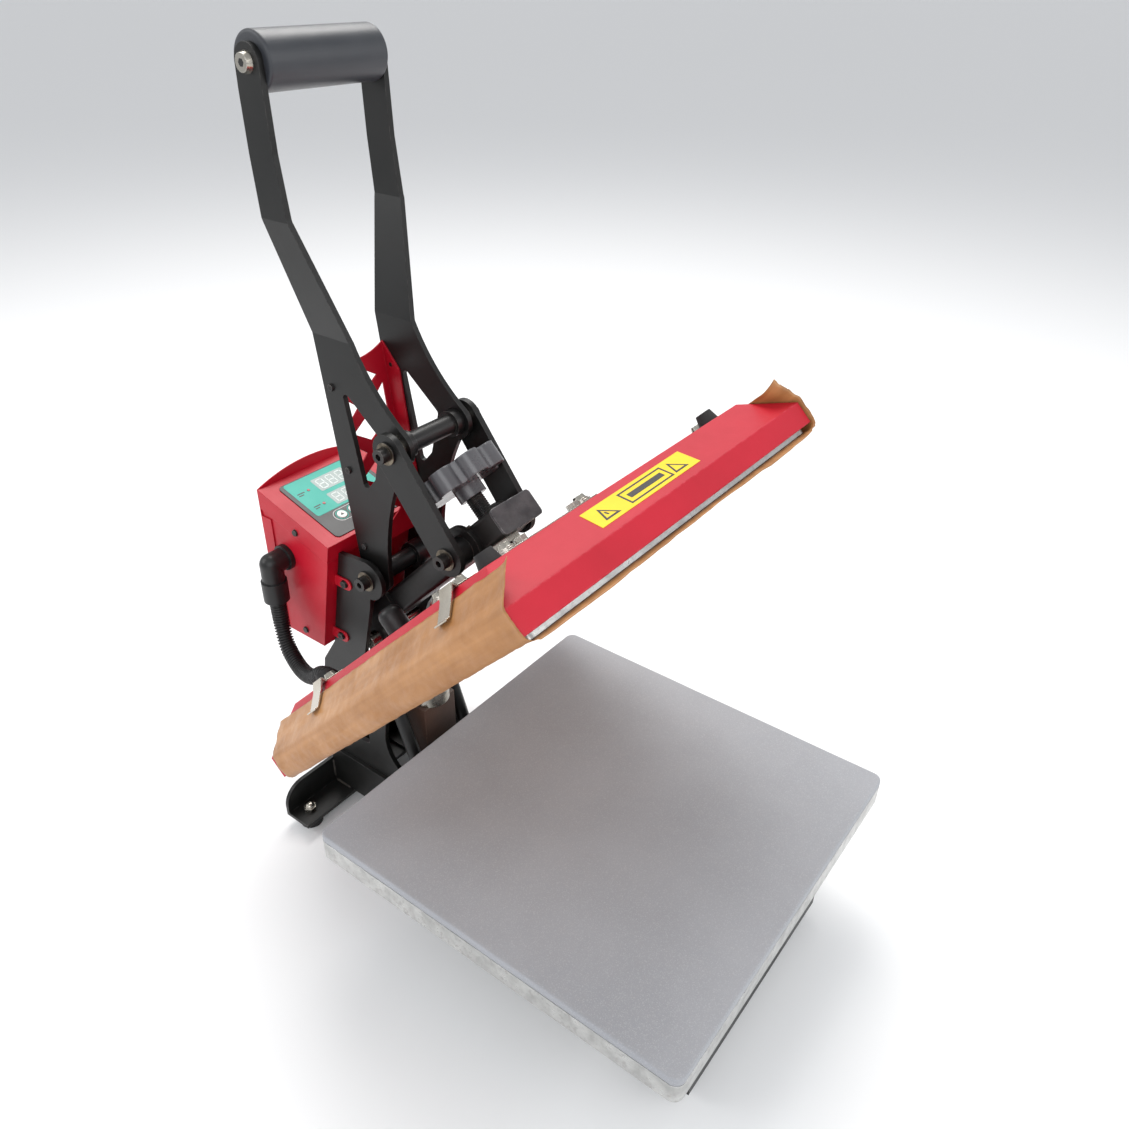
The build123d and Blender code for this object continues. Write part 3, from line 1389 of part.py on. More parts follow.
# ---------------------------------------------------------------- build everything
def main():
    save(make_side_plate(-1), "side_plate_left")
    save(make_side_plate(1), "side_plate_right")
    save(make_rails(), "rails")
    save(make_legs(), "leg_angles")
    save(make_feet(), "rubber_feet")
    save(make_foot_bolts(), "foot_bolts")
    save(make_cross_beams(), "cross_beams")
    save(make_magnet_bracket(), "magnet_bracket")
    save(make_electromagnet(), "electromagnet")
    save(make_spring_pin_lower(), "spring_pin_lower")
    save(make_board(), "lower_board")
    save(make_pad(), "silicone_pad")
    save(shoulder_screws([crank_pivot, (0, 0)], base_outer, 14.0), "pivot_screws")
    save(make_box_body(), "control_box_body")
    save(make_box_lid(), "control_box_lid")
    save(make_box_back(), "control_box_back")
    save(make_box_screws(), "control_box_screws")
    save(make_membrane(), "membrane_panel")
    for index in range(button_count):
        save(make_button(index), f"button_{index + 1}")
    save(make_controller(), "controller")
    save(make_inlet(), "power_inlet")
    save(make_rocker(), "power_rocker")
    save(make_elbow_gland(), "elbow_gland")
    save(make_conduit(), "heater_conduit")
    save(make_handle_plate(-1), "handle_plate_left")
    save(make_handle_plate(1), "handle_plate_right")
    save(make_grip(), "handle_grip")
    save(make_crank_tube(), "crank_tube")
    save(make_pivot_tube(), "pivot_tube")
    save(make_guard(), "handle_guard")
    save(make_handle_screws(), "handle_screws")
    save(make_crank_screws(), "crank_screws")
    save(make_link(-1), "link_left")
    save(make_link(1), "link_right")
    save(make_link_screws(), "link_screws")
    save(make_arm_tube(), "arm_tube")
    save(make_end_cap(), "arm_end_cap")
    save(make_arm_plates(), "arm_plates")
    save(make_hinge_sleeve(), "hinge_sleeve")
    save(make_screw_nut(), "screw_nut")
    save(make_armature(), "armature")
    save(make_spring_pin_upper(), "spring_pin_upper")
    save(make_gas_cylinders(), "gas_cylinders")
    save(make_gas_rods(), "gas_rods")
    save(make_heating_plate(), "heating_plate")
    save(make_insulation(), "insulation_board")
    save(make_cover(), "platen_cover")
    save(make_mount_plate(), "mount_plate")
    save(make_platen_screws(), "platen_screws")
    save(make_bumpers(), "cover_bumpers")
    save(make_clips(), "sheet_clips")
    save(make_sheet(), "release_sheet")
    save(make_guide_stud(), "guide_stud")
    save(make_thermal_cap(), "thermal_cap")
    save(make_platen_gland(), "platen_gland")
    save(make_pressure_screw(), "pressure_screw")
    save(make_knob(), "star_knob")
    print("hinge", hinge_y, hinge_z, "crank pivot", base_point(0, *crank_pivot))
    print("link pivot", base_point(0, *link_pivot), "arm pin", base_point(0, *arm_pin), "link length",
          link_length)
    print("travel: arm", arm_travel, "handle", handle_travel, "link", link_travel - handle_travel)
    print("springs: stroke", spring_stroke, "tilt", spring_tilt_open, spring_tilt_shut)
    print("lower spring pin", base_point(0, *spring_pin_place), "screw axis", arm_point(0, pad_centre, 0))
    print("gland", gland_plane().origin, gland_plane().z_dir)
    print("arm up", arm_up, "lid normal", lid_normal, "rocker", base_point(0, rocker_pivot_y, inlet_z))


main()
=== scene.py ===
import bpy
import bmesh
import json
from math import cos, sin, pi, radians, sqrt, exp
from mathutils import Matrix, Vector, noise


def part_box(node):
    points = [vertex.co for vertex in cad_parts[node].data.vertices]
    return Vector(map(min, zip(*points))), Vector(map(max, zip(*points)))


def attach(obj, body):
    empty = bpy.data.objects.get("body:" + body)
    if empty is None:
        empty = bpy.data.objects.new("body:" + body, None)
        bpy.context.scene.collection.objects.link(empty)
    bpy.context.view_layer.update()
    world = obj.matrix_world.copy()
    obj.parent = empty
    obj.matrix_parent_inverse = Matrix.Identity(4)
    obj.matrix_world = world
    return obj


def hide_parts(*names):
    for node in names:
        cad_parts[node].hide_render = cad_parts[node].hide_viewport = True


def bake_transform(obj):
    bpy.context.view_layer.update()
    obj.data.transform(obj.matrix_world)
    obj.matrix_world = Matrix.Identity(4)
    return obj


# Looks of the heat press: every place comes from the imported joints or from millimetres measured
# from the arm hinge, either on the arm as if shut (on_arm) or on the base (on_base).
# Numbers inside outlines are millimetres.

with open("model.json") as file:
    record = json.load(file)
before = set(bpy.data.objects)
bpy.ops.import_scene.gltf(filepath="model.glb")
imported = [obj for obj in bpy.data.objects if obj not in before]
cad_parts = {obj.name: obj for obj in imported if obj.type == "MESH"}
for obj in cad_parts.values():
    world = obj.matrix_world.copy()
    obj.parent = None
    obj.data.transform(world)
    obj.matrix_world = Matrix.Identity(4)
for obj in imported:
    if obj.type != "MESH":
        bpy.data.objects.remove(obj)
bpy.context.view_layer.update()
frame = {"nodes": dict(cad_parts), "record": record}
MM = 0.001
joints = {j["name"]: j for j in frame["record"]["behaviour"]["joints"]}
hinge = Vector(joints["arm_hinge"]["pos_m"])
open_angle = radians(joints["arm_hinge"]["range_deg"][1])
X = Vector((1, 0, 0))
REAR = Vector((0, cos(open_angle), -sin(open_angle)))
UP = Vector((0, sin(open_angle), cos(open_angle)))
CRANK = Vector(joints["handle_pivot"]["pos_m"])
LINK = Vector(joints["link_pivot"]["pos_m"])
LID_UP = -Vector(joints["press_a"]["axis"]).normalized()
LID_IN = X.cross(LID_UP) * -1
if LID_IN.y < 0:
    LID_IN = -LID_IN


def on_arm(x, y, z):
    return hinge + X * (x * MM) + REAR * (y * MM) + UP * (z * MM)


def on_base(x, y, z):
    return hinge + Vector((x, y, z)) * MM


def on_lid(x, u, lift):
    """x across the lid, u up its slope from the front edge, lift above its sheet."""
    return on_base(0, 20.1, 195.9) + X * (x * MM) + LID_IN * (u * MM) + LID_UP * (lift * MM)


# ---------------------------------------------------------------- camera
def make_camera():
    data = bpy.data.cameras.new("camera")
    data.sensor_width = 36
    data.lens = 30.88
    data.shift_x = -0.012
    camera = bpy.data.objects.new("camera", data)
    bpy.context.scene.collection.objects.link(camera)
    forward = Vector((0.6842, 0.4898, -0.5404)).normalized()
    level = forward.cross(Vector((0, 0, 1))).normalized()
    above = level.cross(forward)
    roll = radians(1.48)
    right = level * cos(roll) + above * sin(roll)
    top = right.cross(forward)
    turn = Matrix((right, top, -forward)).transposed().to_4x4()
    camera.matrix_world = Matrix.Translation((-0.5438, -0.43925, 0.8246)) @ turn
    bpy.context.scene.camera = camera


make_camera()


# ---------------------------------------------------------------- materials
def material(name, colour, second=None, rough=0.45, spread=0.08, metal=0.0, patch=14.0, grain=900.0,
             bump=0.12, stretch=(1, 1, 1), edge=None, bevel=0.0006, coat=0.0,
             dust=0.0, dust_colour=(0.35, 0.33, 0.3), specular=0.5, speck=None):
    """Procedural surface: patchy colour, grain, bump, worn edges with a painted highlight and a little dust
    on top faces.
    """
    mat = bpy.data.materials.new(name)
    mat.use_nodes = True
    tree = mat.node_tree
    nodes, links = tree.nodes, tree.links
    shader = nodes["Principled BSDF"]
    shader.inputs["Metallic"].default_value = metal
    shader.inputs["Specular IOR Level"].default_value = specular
    shader.inputs["Coat Weight"].default_value = coat
    shader.inputs["Coat Roughness"].default_value = 0.15
    place = nodes.new("ShaderNodeTexCoord")
    mapping = nodes.new("ShaderNodeMapping")
    mapping.inputs["Scale"].default_value = stretch
    links.new(place.outputs["Object"], mapping.inputs["Vector"])

    def noise_node(scale, detail, source):
        node = nodes.new("ShaderNodeTexNoise")
        node.inputs["Scale"].default_value = scale
        node.inputs["Detail"].default_value = detail
        node.inputs["Roughness"].default_value = 0.6
        links.new(source, node.inputs["Vector"])
        return node.outputs["Fac"]

    def ranged(source, low, high, to_low, to_high):
        node = nodes.new("ShaderNodeMapRange")
        node.inputs["From Min"].default_value = low
        node.inputs["From Max"].default_value = high
        node.inputs["To Min"].default_value = to_low
        node.inputs["To Max"].default_value = to_high
        links.new(source, node.inputs["Value"])
        return node.outputs["Result"]

    def mixed(factor, a, b):
        node = nodes.new("ShaderNodeMix")
        node.data_type = "RGBA"
        links.new(factor, node.inputs["Factor"])
        for value, key in ((a, 6), (b, 7)):
            if isinstance(value, tuple):
                node.inputs[key].default_value = (*value, 1)
            else:
                links.new(value, node.inputs[key])
        return node.outputs[2]

    coarse = noise_node(patch, 6, place.outputs["Object"])
    fine = noise_node(grain, 3, mapping.outputs["Vector"])
    second = second or tuple(0.72 * value for value in colour)
    shade = mixed(ranged(coarse, 0.35, 0.65, 0, 1), tuple(colour), tuple(second))
    if speck:
        spots = noise_node(grain * 0.8, 2, place.outputs["Object"])
        shade = mixed(ranged(spots, 0.56, 0.66, 0, 0.8), shade, tuple(speck))
    rough_value = nodes.new("ShaderNodeMath")
    rough_value.operation = "ADD"
    links.new(ranged(coarse, 0.3, 0.7, rough - spread, rough + spread), rough_value.inputs[0])
    links.new(ranged(fine, 0.3, 0.7, -spread / 2, spread / 2), rough_value.inputs[1])
    rough_out = rough_value.outputs[0]
    soft = nodes.new("ShaderNodeBevel")
    soft.samples = 4
    soft.inputs["Radius"].default_value = bevel
    geometry = nodes.new("ShaderNodeNewGeometry")
    # Edge mark: a lighter colour where the bevel normal turns from the face; part wear, part painted
    # highlight standing in for glints off cut edges.
    if edge:
        dot = nodes.new("ShaderNodeVectorMath")
        dot.operation = "DOT_PRODUCT"
        links.new(soft.outputs["Normal"], dot.inputs[0])
        links.new(geometry.outputs["Normal"], dot.inputs[1])
        edge_breakup = noise_node(160, 4, place.outputs["Object"])
        rim = ranged(dot.outputs["Value"], 0.985, 0.9, 0, 1)
        product = nodes.new("ShaderNodeMath")
        product.operation = "MULTIPLY"
        links.new(rim, product.inputs[0])
        links.new(ranged(edge_breakup, 0.42, 0.6, 0, 1), product.inputs[1])
        shade = mixed(product.outputs[0], shade, tuple(edge))
    if dust:
        axis = nodes.new("ShaderNodeSeparateXYZ")
        links.new(geometry.outputs["Normal"], axis.inputs[0])
        lying = ranged(axis.outputs["Z"], 0.5, 1.0, 0, dust)
        film = nodes.new("ShaderNodeMath")
        film.operation = "MULTIPLY"
        links.new(lying, film.inputs[0])
        links.new(ranged(noise_node(38, 8, place.outputs["Object"]), 0.4, 0.7, 0.1, 1), film.inputs[1])
        shade = mixed(film.outputs[0], shade, tuple(dust_colour))
    links.new(shade, shader.inputs["Base Color"])
    links.new(rough_out, shader.inputs["Roughness"])
    relief = nodes.new("ShaderNodeBump")
    relief.inputs["Strength"].default_value = bump
    relief.inputs["Distance"].default_value = 0.0004
    links.new(fine, relief.inputs["Height"])
    links.new(soft.outputs["Normal"], relief.inputs["Normal"])
    links.new(relief.outputs["Normal"], shader.inputs["Normal"])
    return mat


# The edge colours below are lighter edge marks: part wear, part painted highlight.
MATS = {
    "powder_black": material("powder_black", (0.0052, 0.0055, 0.0052), (0.0075, 0.0075, 0.007), 0.40,
                             0.06, grain=1500, bump=0.22, edge=(0.10, 0.095, 0.09), dust=0.012,
                             specular=0.34),
    "bracket_steel": material("bracket_steel", (0.007, 0.007, 0.0075), (0.012, 0.011, 0.010), 0.38, 0.09,
                              grain=1300, bump=0.22, edge=(0.14, 0.13, 0.11), dust=0.015, specular=0.4),
    "brown_steel": material("brown_steel", (0.075, 0.035, 0.022), (0.04, 0.025, 0.02), 0.5, 0.1,
                            grain=700, bump=0.3, edge=(0.3, 0.22, 0.16), dust=0.15),
    "red_sheet": material("red_sheet", (0.50, 0.006, 0.022), (0.43, 0.005, 0.018), 0.40, 0.05, grain=1300,
                          bump=0.2, edge=(0.56, 0.03, 0.05), bevel=0.0010, coat=0.03, specular=0.3),
    "cover_red": material("cover_red", (0.50, 0.007, 0.024), (0.44, 0.006, 0.020), 0.44, 0.05, grain=1200,
                          bump=0.22, edge=(0.62, 0.05, 0.08), bevel=0.0022, coat=0.02, specular=0.3),
    "zinc": material("zinc", (0.50, 0.475, 0.425), (0.36, 0.335, 0.285), 0.27, 0.09, 1.0, patch=26,
                     grain=300, bump=0.04, stretch=(1, 1, 6), edge=(0.8, 0.78, 0.74)),
    "spring_steel": material("spring_steel", (0.52, 0.48, 0.41), (0.36, 0.32, 0.26), 0.22, 0.08, 1.0,
                             patch=30, grain=320, bump=0.07, stretch=(6, 1, 1), edge=(0.7, 0.66, 0.58)),
    "black_oxide": material("black_oxide", (0.022, 0.022, 0.024), (0.04, 0.037, 0.034), 0.32, 0.1, 0.6,
                            patch=90, grain=900, bump=0.2, edge=(0.22, 0.2, 0.18), bevel=0.0005),
    "washer_tan": material("washer_tan", (0.22, 0.185, 0.14), (0.10, 0.085, 0.065), 0.40, 0.1, 1.0,
                           patch=120, grain=700, bump=0.2),
    "mill": material("mill", (0.60, 0.60, 0.585), (0.44, 0.44, 0.43), 0.36, 0.10, 0.85, patch=70,
                     grain=240, bump=0.3, stretch=(1, 1, 9), edge=(0.72, 0.72, 0.71),
                     speck=(0.42, 0.41, 0.40)),
    "silicone": material("silicone", (0.36, 0.368, 0.392), (0.325, 0.333, 0.355), 0.62, 0.06, patch=7,
                         grain=1500, bump=0.35, speck=(0.45, 0.455, 0.475), bevel=0.0012, specular=0.35),
    "board_white": material("board_white", (0.75, 0.74, 0.70), (0.6, 0.58, 0.53), 0.8, 0.08, patch=60,
                            grain=500, bump=0.5, stretch=(1, 1, 8)),
    "black_rubber": material("black_rubber", (0.009, 0.009, 0.0095), (0.016, 0.016, 0.016), 0.6, 0.1,
                             patch=60, grain=800, bump=0.3, bevel=0.001, dust=0.05, specular=0.4),
    "black_plastic": material("black_plastic", (0.007, 0.007, 0.0075), (0.011, 0.011, 0.011), 0.38, 0.08,
                              patch=50, grain=900, bump=0.15, bevel=0.001, dust=0.02, specular=0.42),
    "knob_plastic": material("knob_plastic", (0.088, 0.092, 0.098), (0.068, 0.071, 0.077), 0.3, 0.08,
                             patch=30, grain=600, bump=0.14, bevel=0.0026, coat=0.3,
                             edge=(0.17, 0.17, 0.18), dust=0.02),
    "grip_rubber": material("grip_rubber", (0.026, 0.029, 0.035), (0.034, 0.037, 0.044), 0.38, 0.06,
                            patch=20, grain=1400, bump=0.35, bevel=0.002),
    "cap_grey": material("cap_grey", (0.028, 0.028, 0.031), (0.07, 0.07, 0.073), 0.46, 0.1, patch=70,
                         grain=340, bump=0.6, stretch=(1, 5, 1), edge=(0.3, 0.3, 0.3), bevel=0.0015),
    "circuit_green": material("circuit_green", (0.01, 0.09, 0.03), None, 0.4, 0.1, patch=60, grain=500),
    "film_black": material("film_black", (0.008, 0.008, 0.009), None, 0.36, 0.05, patch=20, grain=1800,
                           bump=0.1, coat=0.05, specular=0.35),
    "film_teal": material("film_teal", (0.022, 0.42, 0.33), (0.018, 0.38, 0.30), 0.42, 0.05, patch=20,
                          grain=1800, bump=0.1, coat=0.05, specular=0.3),
    "film_window": material("film_window", (0.34, 0.42, 0.40), (0.29, 0.37, 0.35), 0.34, 0.05, patch=20,
                            grain=1800, bump=0.05, coat=0.08, specular=0.3),
    "digit_grey": material("digit_grey", (0.70, 0.78, 0.75), (0.60, 0.68, 0.65), 0.4, 0.05, patch=60,
                           grain=900, specular=0.3),
    "film_white": material("film_white", (0.72, 0.74, 0.73), None, 0.35, 0.05, patch=40, grain=1200),
    "lamp_red": material("lamp_red", (0.35, 0.02, 0.02), None, 0.25, 0.05, patch=60, grain=900),
    "label_yellow": material("label_yellow", (0.86, 0.60, 0.008), (0.80, 0.54, 0.007), 0.42, 0.08,
                             patch=30, grain=1600, bump=0.15, coat=0.03, specular=0.3),
    "label_black": material("label_black", (0.014, 0.013, 0.012), None, 0.4, 0.08, patch=40, grain=1500,
                            bump=0.15),
    "weld": material("weld", (0.03, 0.029, 0.028), (0.07, 0.06, 0.05), 0.42, 0.1, 0.3, patch=200,
                     grain=900, bump=0.5),
    "brass": material("brass", (0.62, 0.46, 0.2), None, 0.28, 0.1, 1.0, patch=100, grain=600),
    # Near-black for screw recesses: painted shade, not the screws' own colour.
    "recess_painted_shade": material("recess_painted_shade", (0.006, 0.006, 0.006), (0.012, 0.011, 0.01), 0.7, 0.1, patch=100,
                          grain=700),
    "button_white": material("button_white", (0.74, 0.75, 0.73), (0.66, 0.67, 0.65), 0.42, 0.08, patch=50,
                             grain=900, bump=0.2),
}


def release_material():
    """Coated glass cloth: tan, slightly glossy, with fold lines and a fine weave."""
    mat = material("release_film", (0.50, 0.245, 0.092), (0.40, 0.185, 0.064), 0.42, 0.1, patch=26,
                   grain=420,
                   bump=0.25, coat=0.04, specular=0.4)
    tree = mat.node_tree
    nodes, links = tree.nodes, tree.links
    shader = nodes["Principled BSDF"]
    old = shader.inputs["Normal"].links[0].from_socket
    place = nodes.new("ShaderNodeTexCoord")
    crease = nodes.new("ShaderNodeTexNoise")
    crease.noise_type = "RIDGED_MULTIFRACTAL"
    crease.inputs["Scale"].default_value = 34
    crease.inputs["Detail"].default_value = 5
    links.new(place.outputs["Object"], crease.inputs["Vector"])
    fold = nodes.new("ShaderNodeBump")
    fold.inputs["Strength"].default_value = 0.4
    fold.inputs["Distance"].default_value = 0.0009
    links.new(crease.outputs["Fac"], fold.inputs["Height"])
    links.new(old, fold.inputs["Normal"])
    links.new(fold.outputs["Normal"], shader.inputs["Normal"])
    along = nodes.new("ShaderNodeMapping")
    along.vector_type = "TEXTURE"
    along.inputs["Rotation"].default_value = (-open_angle, 0, 0)
    along.inputs["Scale"].default_value = (1 / 90, 1 / 4, 1 / 90)
    streak = nodes.new("ShaderNodeTexNoise")
    streak.inputs["Scale"].default_value = 1.0
    streak.inputs["Detail"].default_value = 7
    tone = nodes.new("ShaderNodeMapRange")
    tone.inputs["From Min"].default_value = 0.38
    tone.inputs["From Max"].default_value = 0.62
    tint = nodes.new("ShaderNodeMix")
    tint.data_type = "RGBA"
    tint.blend_type = "MULTIPLY"
    tint.inputs["Factor"].default_value = 1.0
    dark = nodes.new("ShaderNodeMix")
    dark.data_type = "RGBA"
    dark.inputs[6].default_value = (0.80, 0.76, 0.71, 1)
    dark.inputs[7].default_value = (1, 1, 1, 1)
    links.new(place.outputs["Object"], along.inputs["Vector"])
    links.new(along.outputs["Vector"], streak.inputs["Vector"])
    links.new(streak.outputs["Fac"], tone.inputs["Value"])
    links.new(tone.outputs["Result"], dark.inputs["Factor"])
    links.new(shader.inputs["Base Color"].links[0].from_socket, tint.inputs[6])
    links.new(dark.outputs[2], tint.inputs[7])
    links.new(tint.outputs[2], shader.inputs["Base Color"])
    return mat


MATS["release_film"] = release_material()

LOOKS = {
    "powder_black": "side_plate_left side_plate_right handle_plate_left handle_plate_right rails leg_angles "
                    "cross_beams link_left link_right",
    "bracket_steel": "arm_plates arm_tube hinge_sleeve crank_tube pivot_tube",
    "brown_steel": "magnet_bracket",
    "red_sheet": "control_box_body control_box_lid control_box_back handle_guard",
    "cover_red": "platen_cover",
    "zinc": "spring_pin_lower spring_pin_upper electromagnet armature foot_bolts screw_nut guide_stud "
            "platen_screws mount_plate gas_rods handle_screws",
    "spring_steel": "sheet_clips",
    "black_oxide": "pivot_screws crank_screws link_screws pressure_screw control_box_screws",
    "mill": "lower_board heating_plate",
    "board_white": "insulation_board",
    "black_rubber": "rubber_feet cover_bumpers",
    "black_plastic": "elbow_gland platen_gland power_inlet power_rocker gas_cylinders thermal_cap",
    "knob_plastic": "star_knob",
    "grip_rubber": "handle_grip",
    "cap_grey": "arm_end_cap",
    "circuit_green": "controller",
    "film_black": "membrane_panel",
    "button_white": "button_1 button_2 button_3 button_4",
}
SLOTS = {item["node"]: item["material_slot"] for item in frame["record"]["subparts"]}
for look, names in LOOKS.items():
    for node in names.split():
        piece = frame["nodes"][node]
        piece.data.materials.clear()
        piece.data.materials.append(MATS[look])



def paint_faces(node, look, chosen):
    """Second material on the faces of a CAD node whose middle passes the test."""
    piece = frame["nodes"][node]
    piece.data.materials.append(MATS[look])
    for polygon in piece.data.polygons:
        if chosen(piece.matrix_world @ polygon.center):
            polygon.material_index = 1


paint_faces("handle_screws", "black_oxide", lambda place: place.z < CRANK.z + 0.25)
paint_faces("crank_screws", "zinc", lambda place: 38.2 < abs(place.x) / MM < 43.6)


# ---------------------------------------------------------------- helpers for added pieces
def add_mesh(name, verts, faces, look, body, slot, smooth=True):
    mesh = bpy.data.meshes.new(name)
    mesh.from_pydata([tuple(v) for v in verts], [], faces)
    mesh.update()
    work = bmesh.new()
    work.from_mesh(mesh)
    bmesh.ops.recalc_face_normals(work, faces=work.faces)
    work.to_mesh(mesh)
    work.free()
    for polygon in mesh.polygons:
        polygon.use_smooth = smooth
    mesh.materials.append(MATS[look])
    obj = bpy.data.objects.new(name, mesh)
    bpy.context.scene.collection.objects.link(obj)
    if body:
        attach(obj, body)
    return obj


def grid_faces(rows, columns, closed):
    """Quads between rows of points; closed joins the last column to the first."""
    faces = []
    for i in range(rows - 1):
        for j in range(columns if closed else columns - 1):
            k = (j + 1) % columns
            faces.append((i * columns + j, i * columns + k, (i + 1) * columns + k, (i + 1) * columns + j))
    return faces


def prism(place, outline, low, high):
    """Vertices and faces of an outline raised from low to high; place maps (a, b, height)."""
    count = len(outline)
    verts = [place(a, b, low) for a, b in outline] + [place(a, b, high) for a, b in outline]
    faces = [tuple(range(count))[::-1], tuple(range(count, 2 * count))]
    faces += [(i, (i + 1) % count, count + (i + 1) % count, count + i) for i in range(count)]
    return verts, faces


def many_prisms(name, place, outlines, low, high, look, body, slot):
    verts, faces = [], []
    for outline in outlines:
        more, rows = prism(place, outline, low, high)
        faces += [tuple(len(verts) + i for i in row) for row in rows]
        verts += more
    return add_mesh(name, verts, faces, look, body, slot, smooth=False)


def rounded_outline(width, height, radius, centre=(0, 0), steps=5):
    points = []
    for quarter, (sx, sy) in enumerate(((1, 1), (-1, 1), (-1, -1), (1, -1))):
        for i in range(steps + 1):
            angle = (quarter + i / steps) * pi / 2
            points.append((centre[0] + sx * (width / 2 - radius) + radius * cos(angle),
                           centre[1] + sy * (height / 2 - radius) + radius * sin(angle)))
    return points


def disc(radius, centre=(0, 0), count=20):
    return [(centre[0] + radius * cos(2 * pi * i / count), centre[1] + radius * sin(2 * pi * i / count))
            for i in range(count)]


# ---------------------------------------------------------------- heater conduit
def spline(points, step):
    """Evenly spaced points on the quadratic spline that the control points steer."""
    dense = []
    middles = [points[0]] + [(a + b) / 2 for a, b in zip(points[1:-2], points[2:-1])] + [points[-1]]
    for start, steer, end in zip(middles, points[1:-1], middles[1:]):
        for i in range(120):
            t = i / 120
            dense.append(start * (1 - t) ** 2 + steer * 2 * t * (1 - t) + end * t * t)
    dense.append(points[-1])
    total = [0.0]
    for a, b in zip(dense, dense[1:]):
        total.append(total[-1] + (b - a).length)
    count = max(2, round(total[-1] / step))
    even, k = [], 0
    for i in range(count + 1):
        goal = total[-1] * i / count
        while k < len(total) - 2 and total[k + 1] < goal:
            k += 1
        share = (goal - total[k]) / max(1e-9, total[k + 1] - total[k])
        even.append(dense[k].lerp(dense[k + 1], min(1, share)))
    return even, total[-1]


def tube_rows(path, radius_at, columns):
    """Rings round a path, turned smoothly along it."""
    verts = []
    side = None
    for i, point in enumerate(path):
        along = (path[min(i + 1, len(path) - 1)] - path[max(i - 1, 0)]).normalized()
        side = (side - along * side.dot(along)).normalized() if side else along.orthogonal().normalized()
        other = along.cross(side)
        radius = radius_at(i)
        for j in range(columns):
            angle = 2 * pi * j / columns
            verts.append(point + side * (radius * cos(angle)) + other * (radius * sin(angle)))
    return verts


def make_conduit():
    route = [(-81.0, 255.6, 274.0), (-81.0, 255.6, 252.0), (-88.0, 243.3, 229.4), (-93.0, 226.3, 218.9),
             (-98.0, 206.3, 214.9), (-102.5, 184.3, 223.4), (-104.0, 167.9, 240.7), (-104.0, 146.0, 239.6)]
    points = [Vector(p) * MM for p in route]
    step = 0.0004
    path, length = spline(points, step)
    pitch = 0.003

    def radius_at(i):
        phase = (i * step / pitch) % 1
        crest = 0.5 - 0.5 * cos(2 * pi * phase)
        return 0.0061 + 0.0019 * min(1, crest * 1.5)

    columns = 28
    verts = tube_rows(path, radius_at, columns)
    conduit = add_mesh("conduit_corrugated", verts, grid_faces(len(path), columns, True), "black_plastic",
                       None,
                       SLOTS["heater_conduit"])
    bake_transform(conduit)
    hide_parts("heater_conduit")


make_conduit()


# ---------------------------------------------------------------- release sheet
PLATEN_Y = -266.6
CLIP_Y = (PLATEN_Y - 121, PLATEN_Y + 99)
FRONT_EDGE = -464.5
REAR_EDGE = -77.0


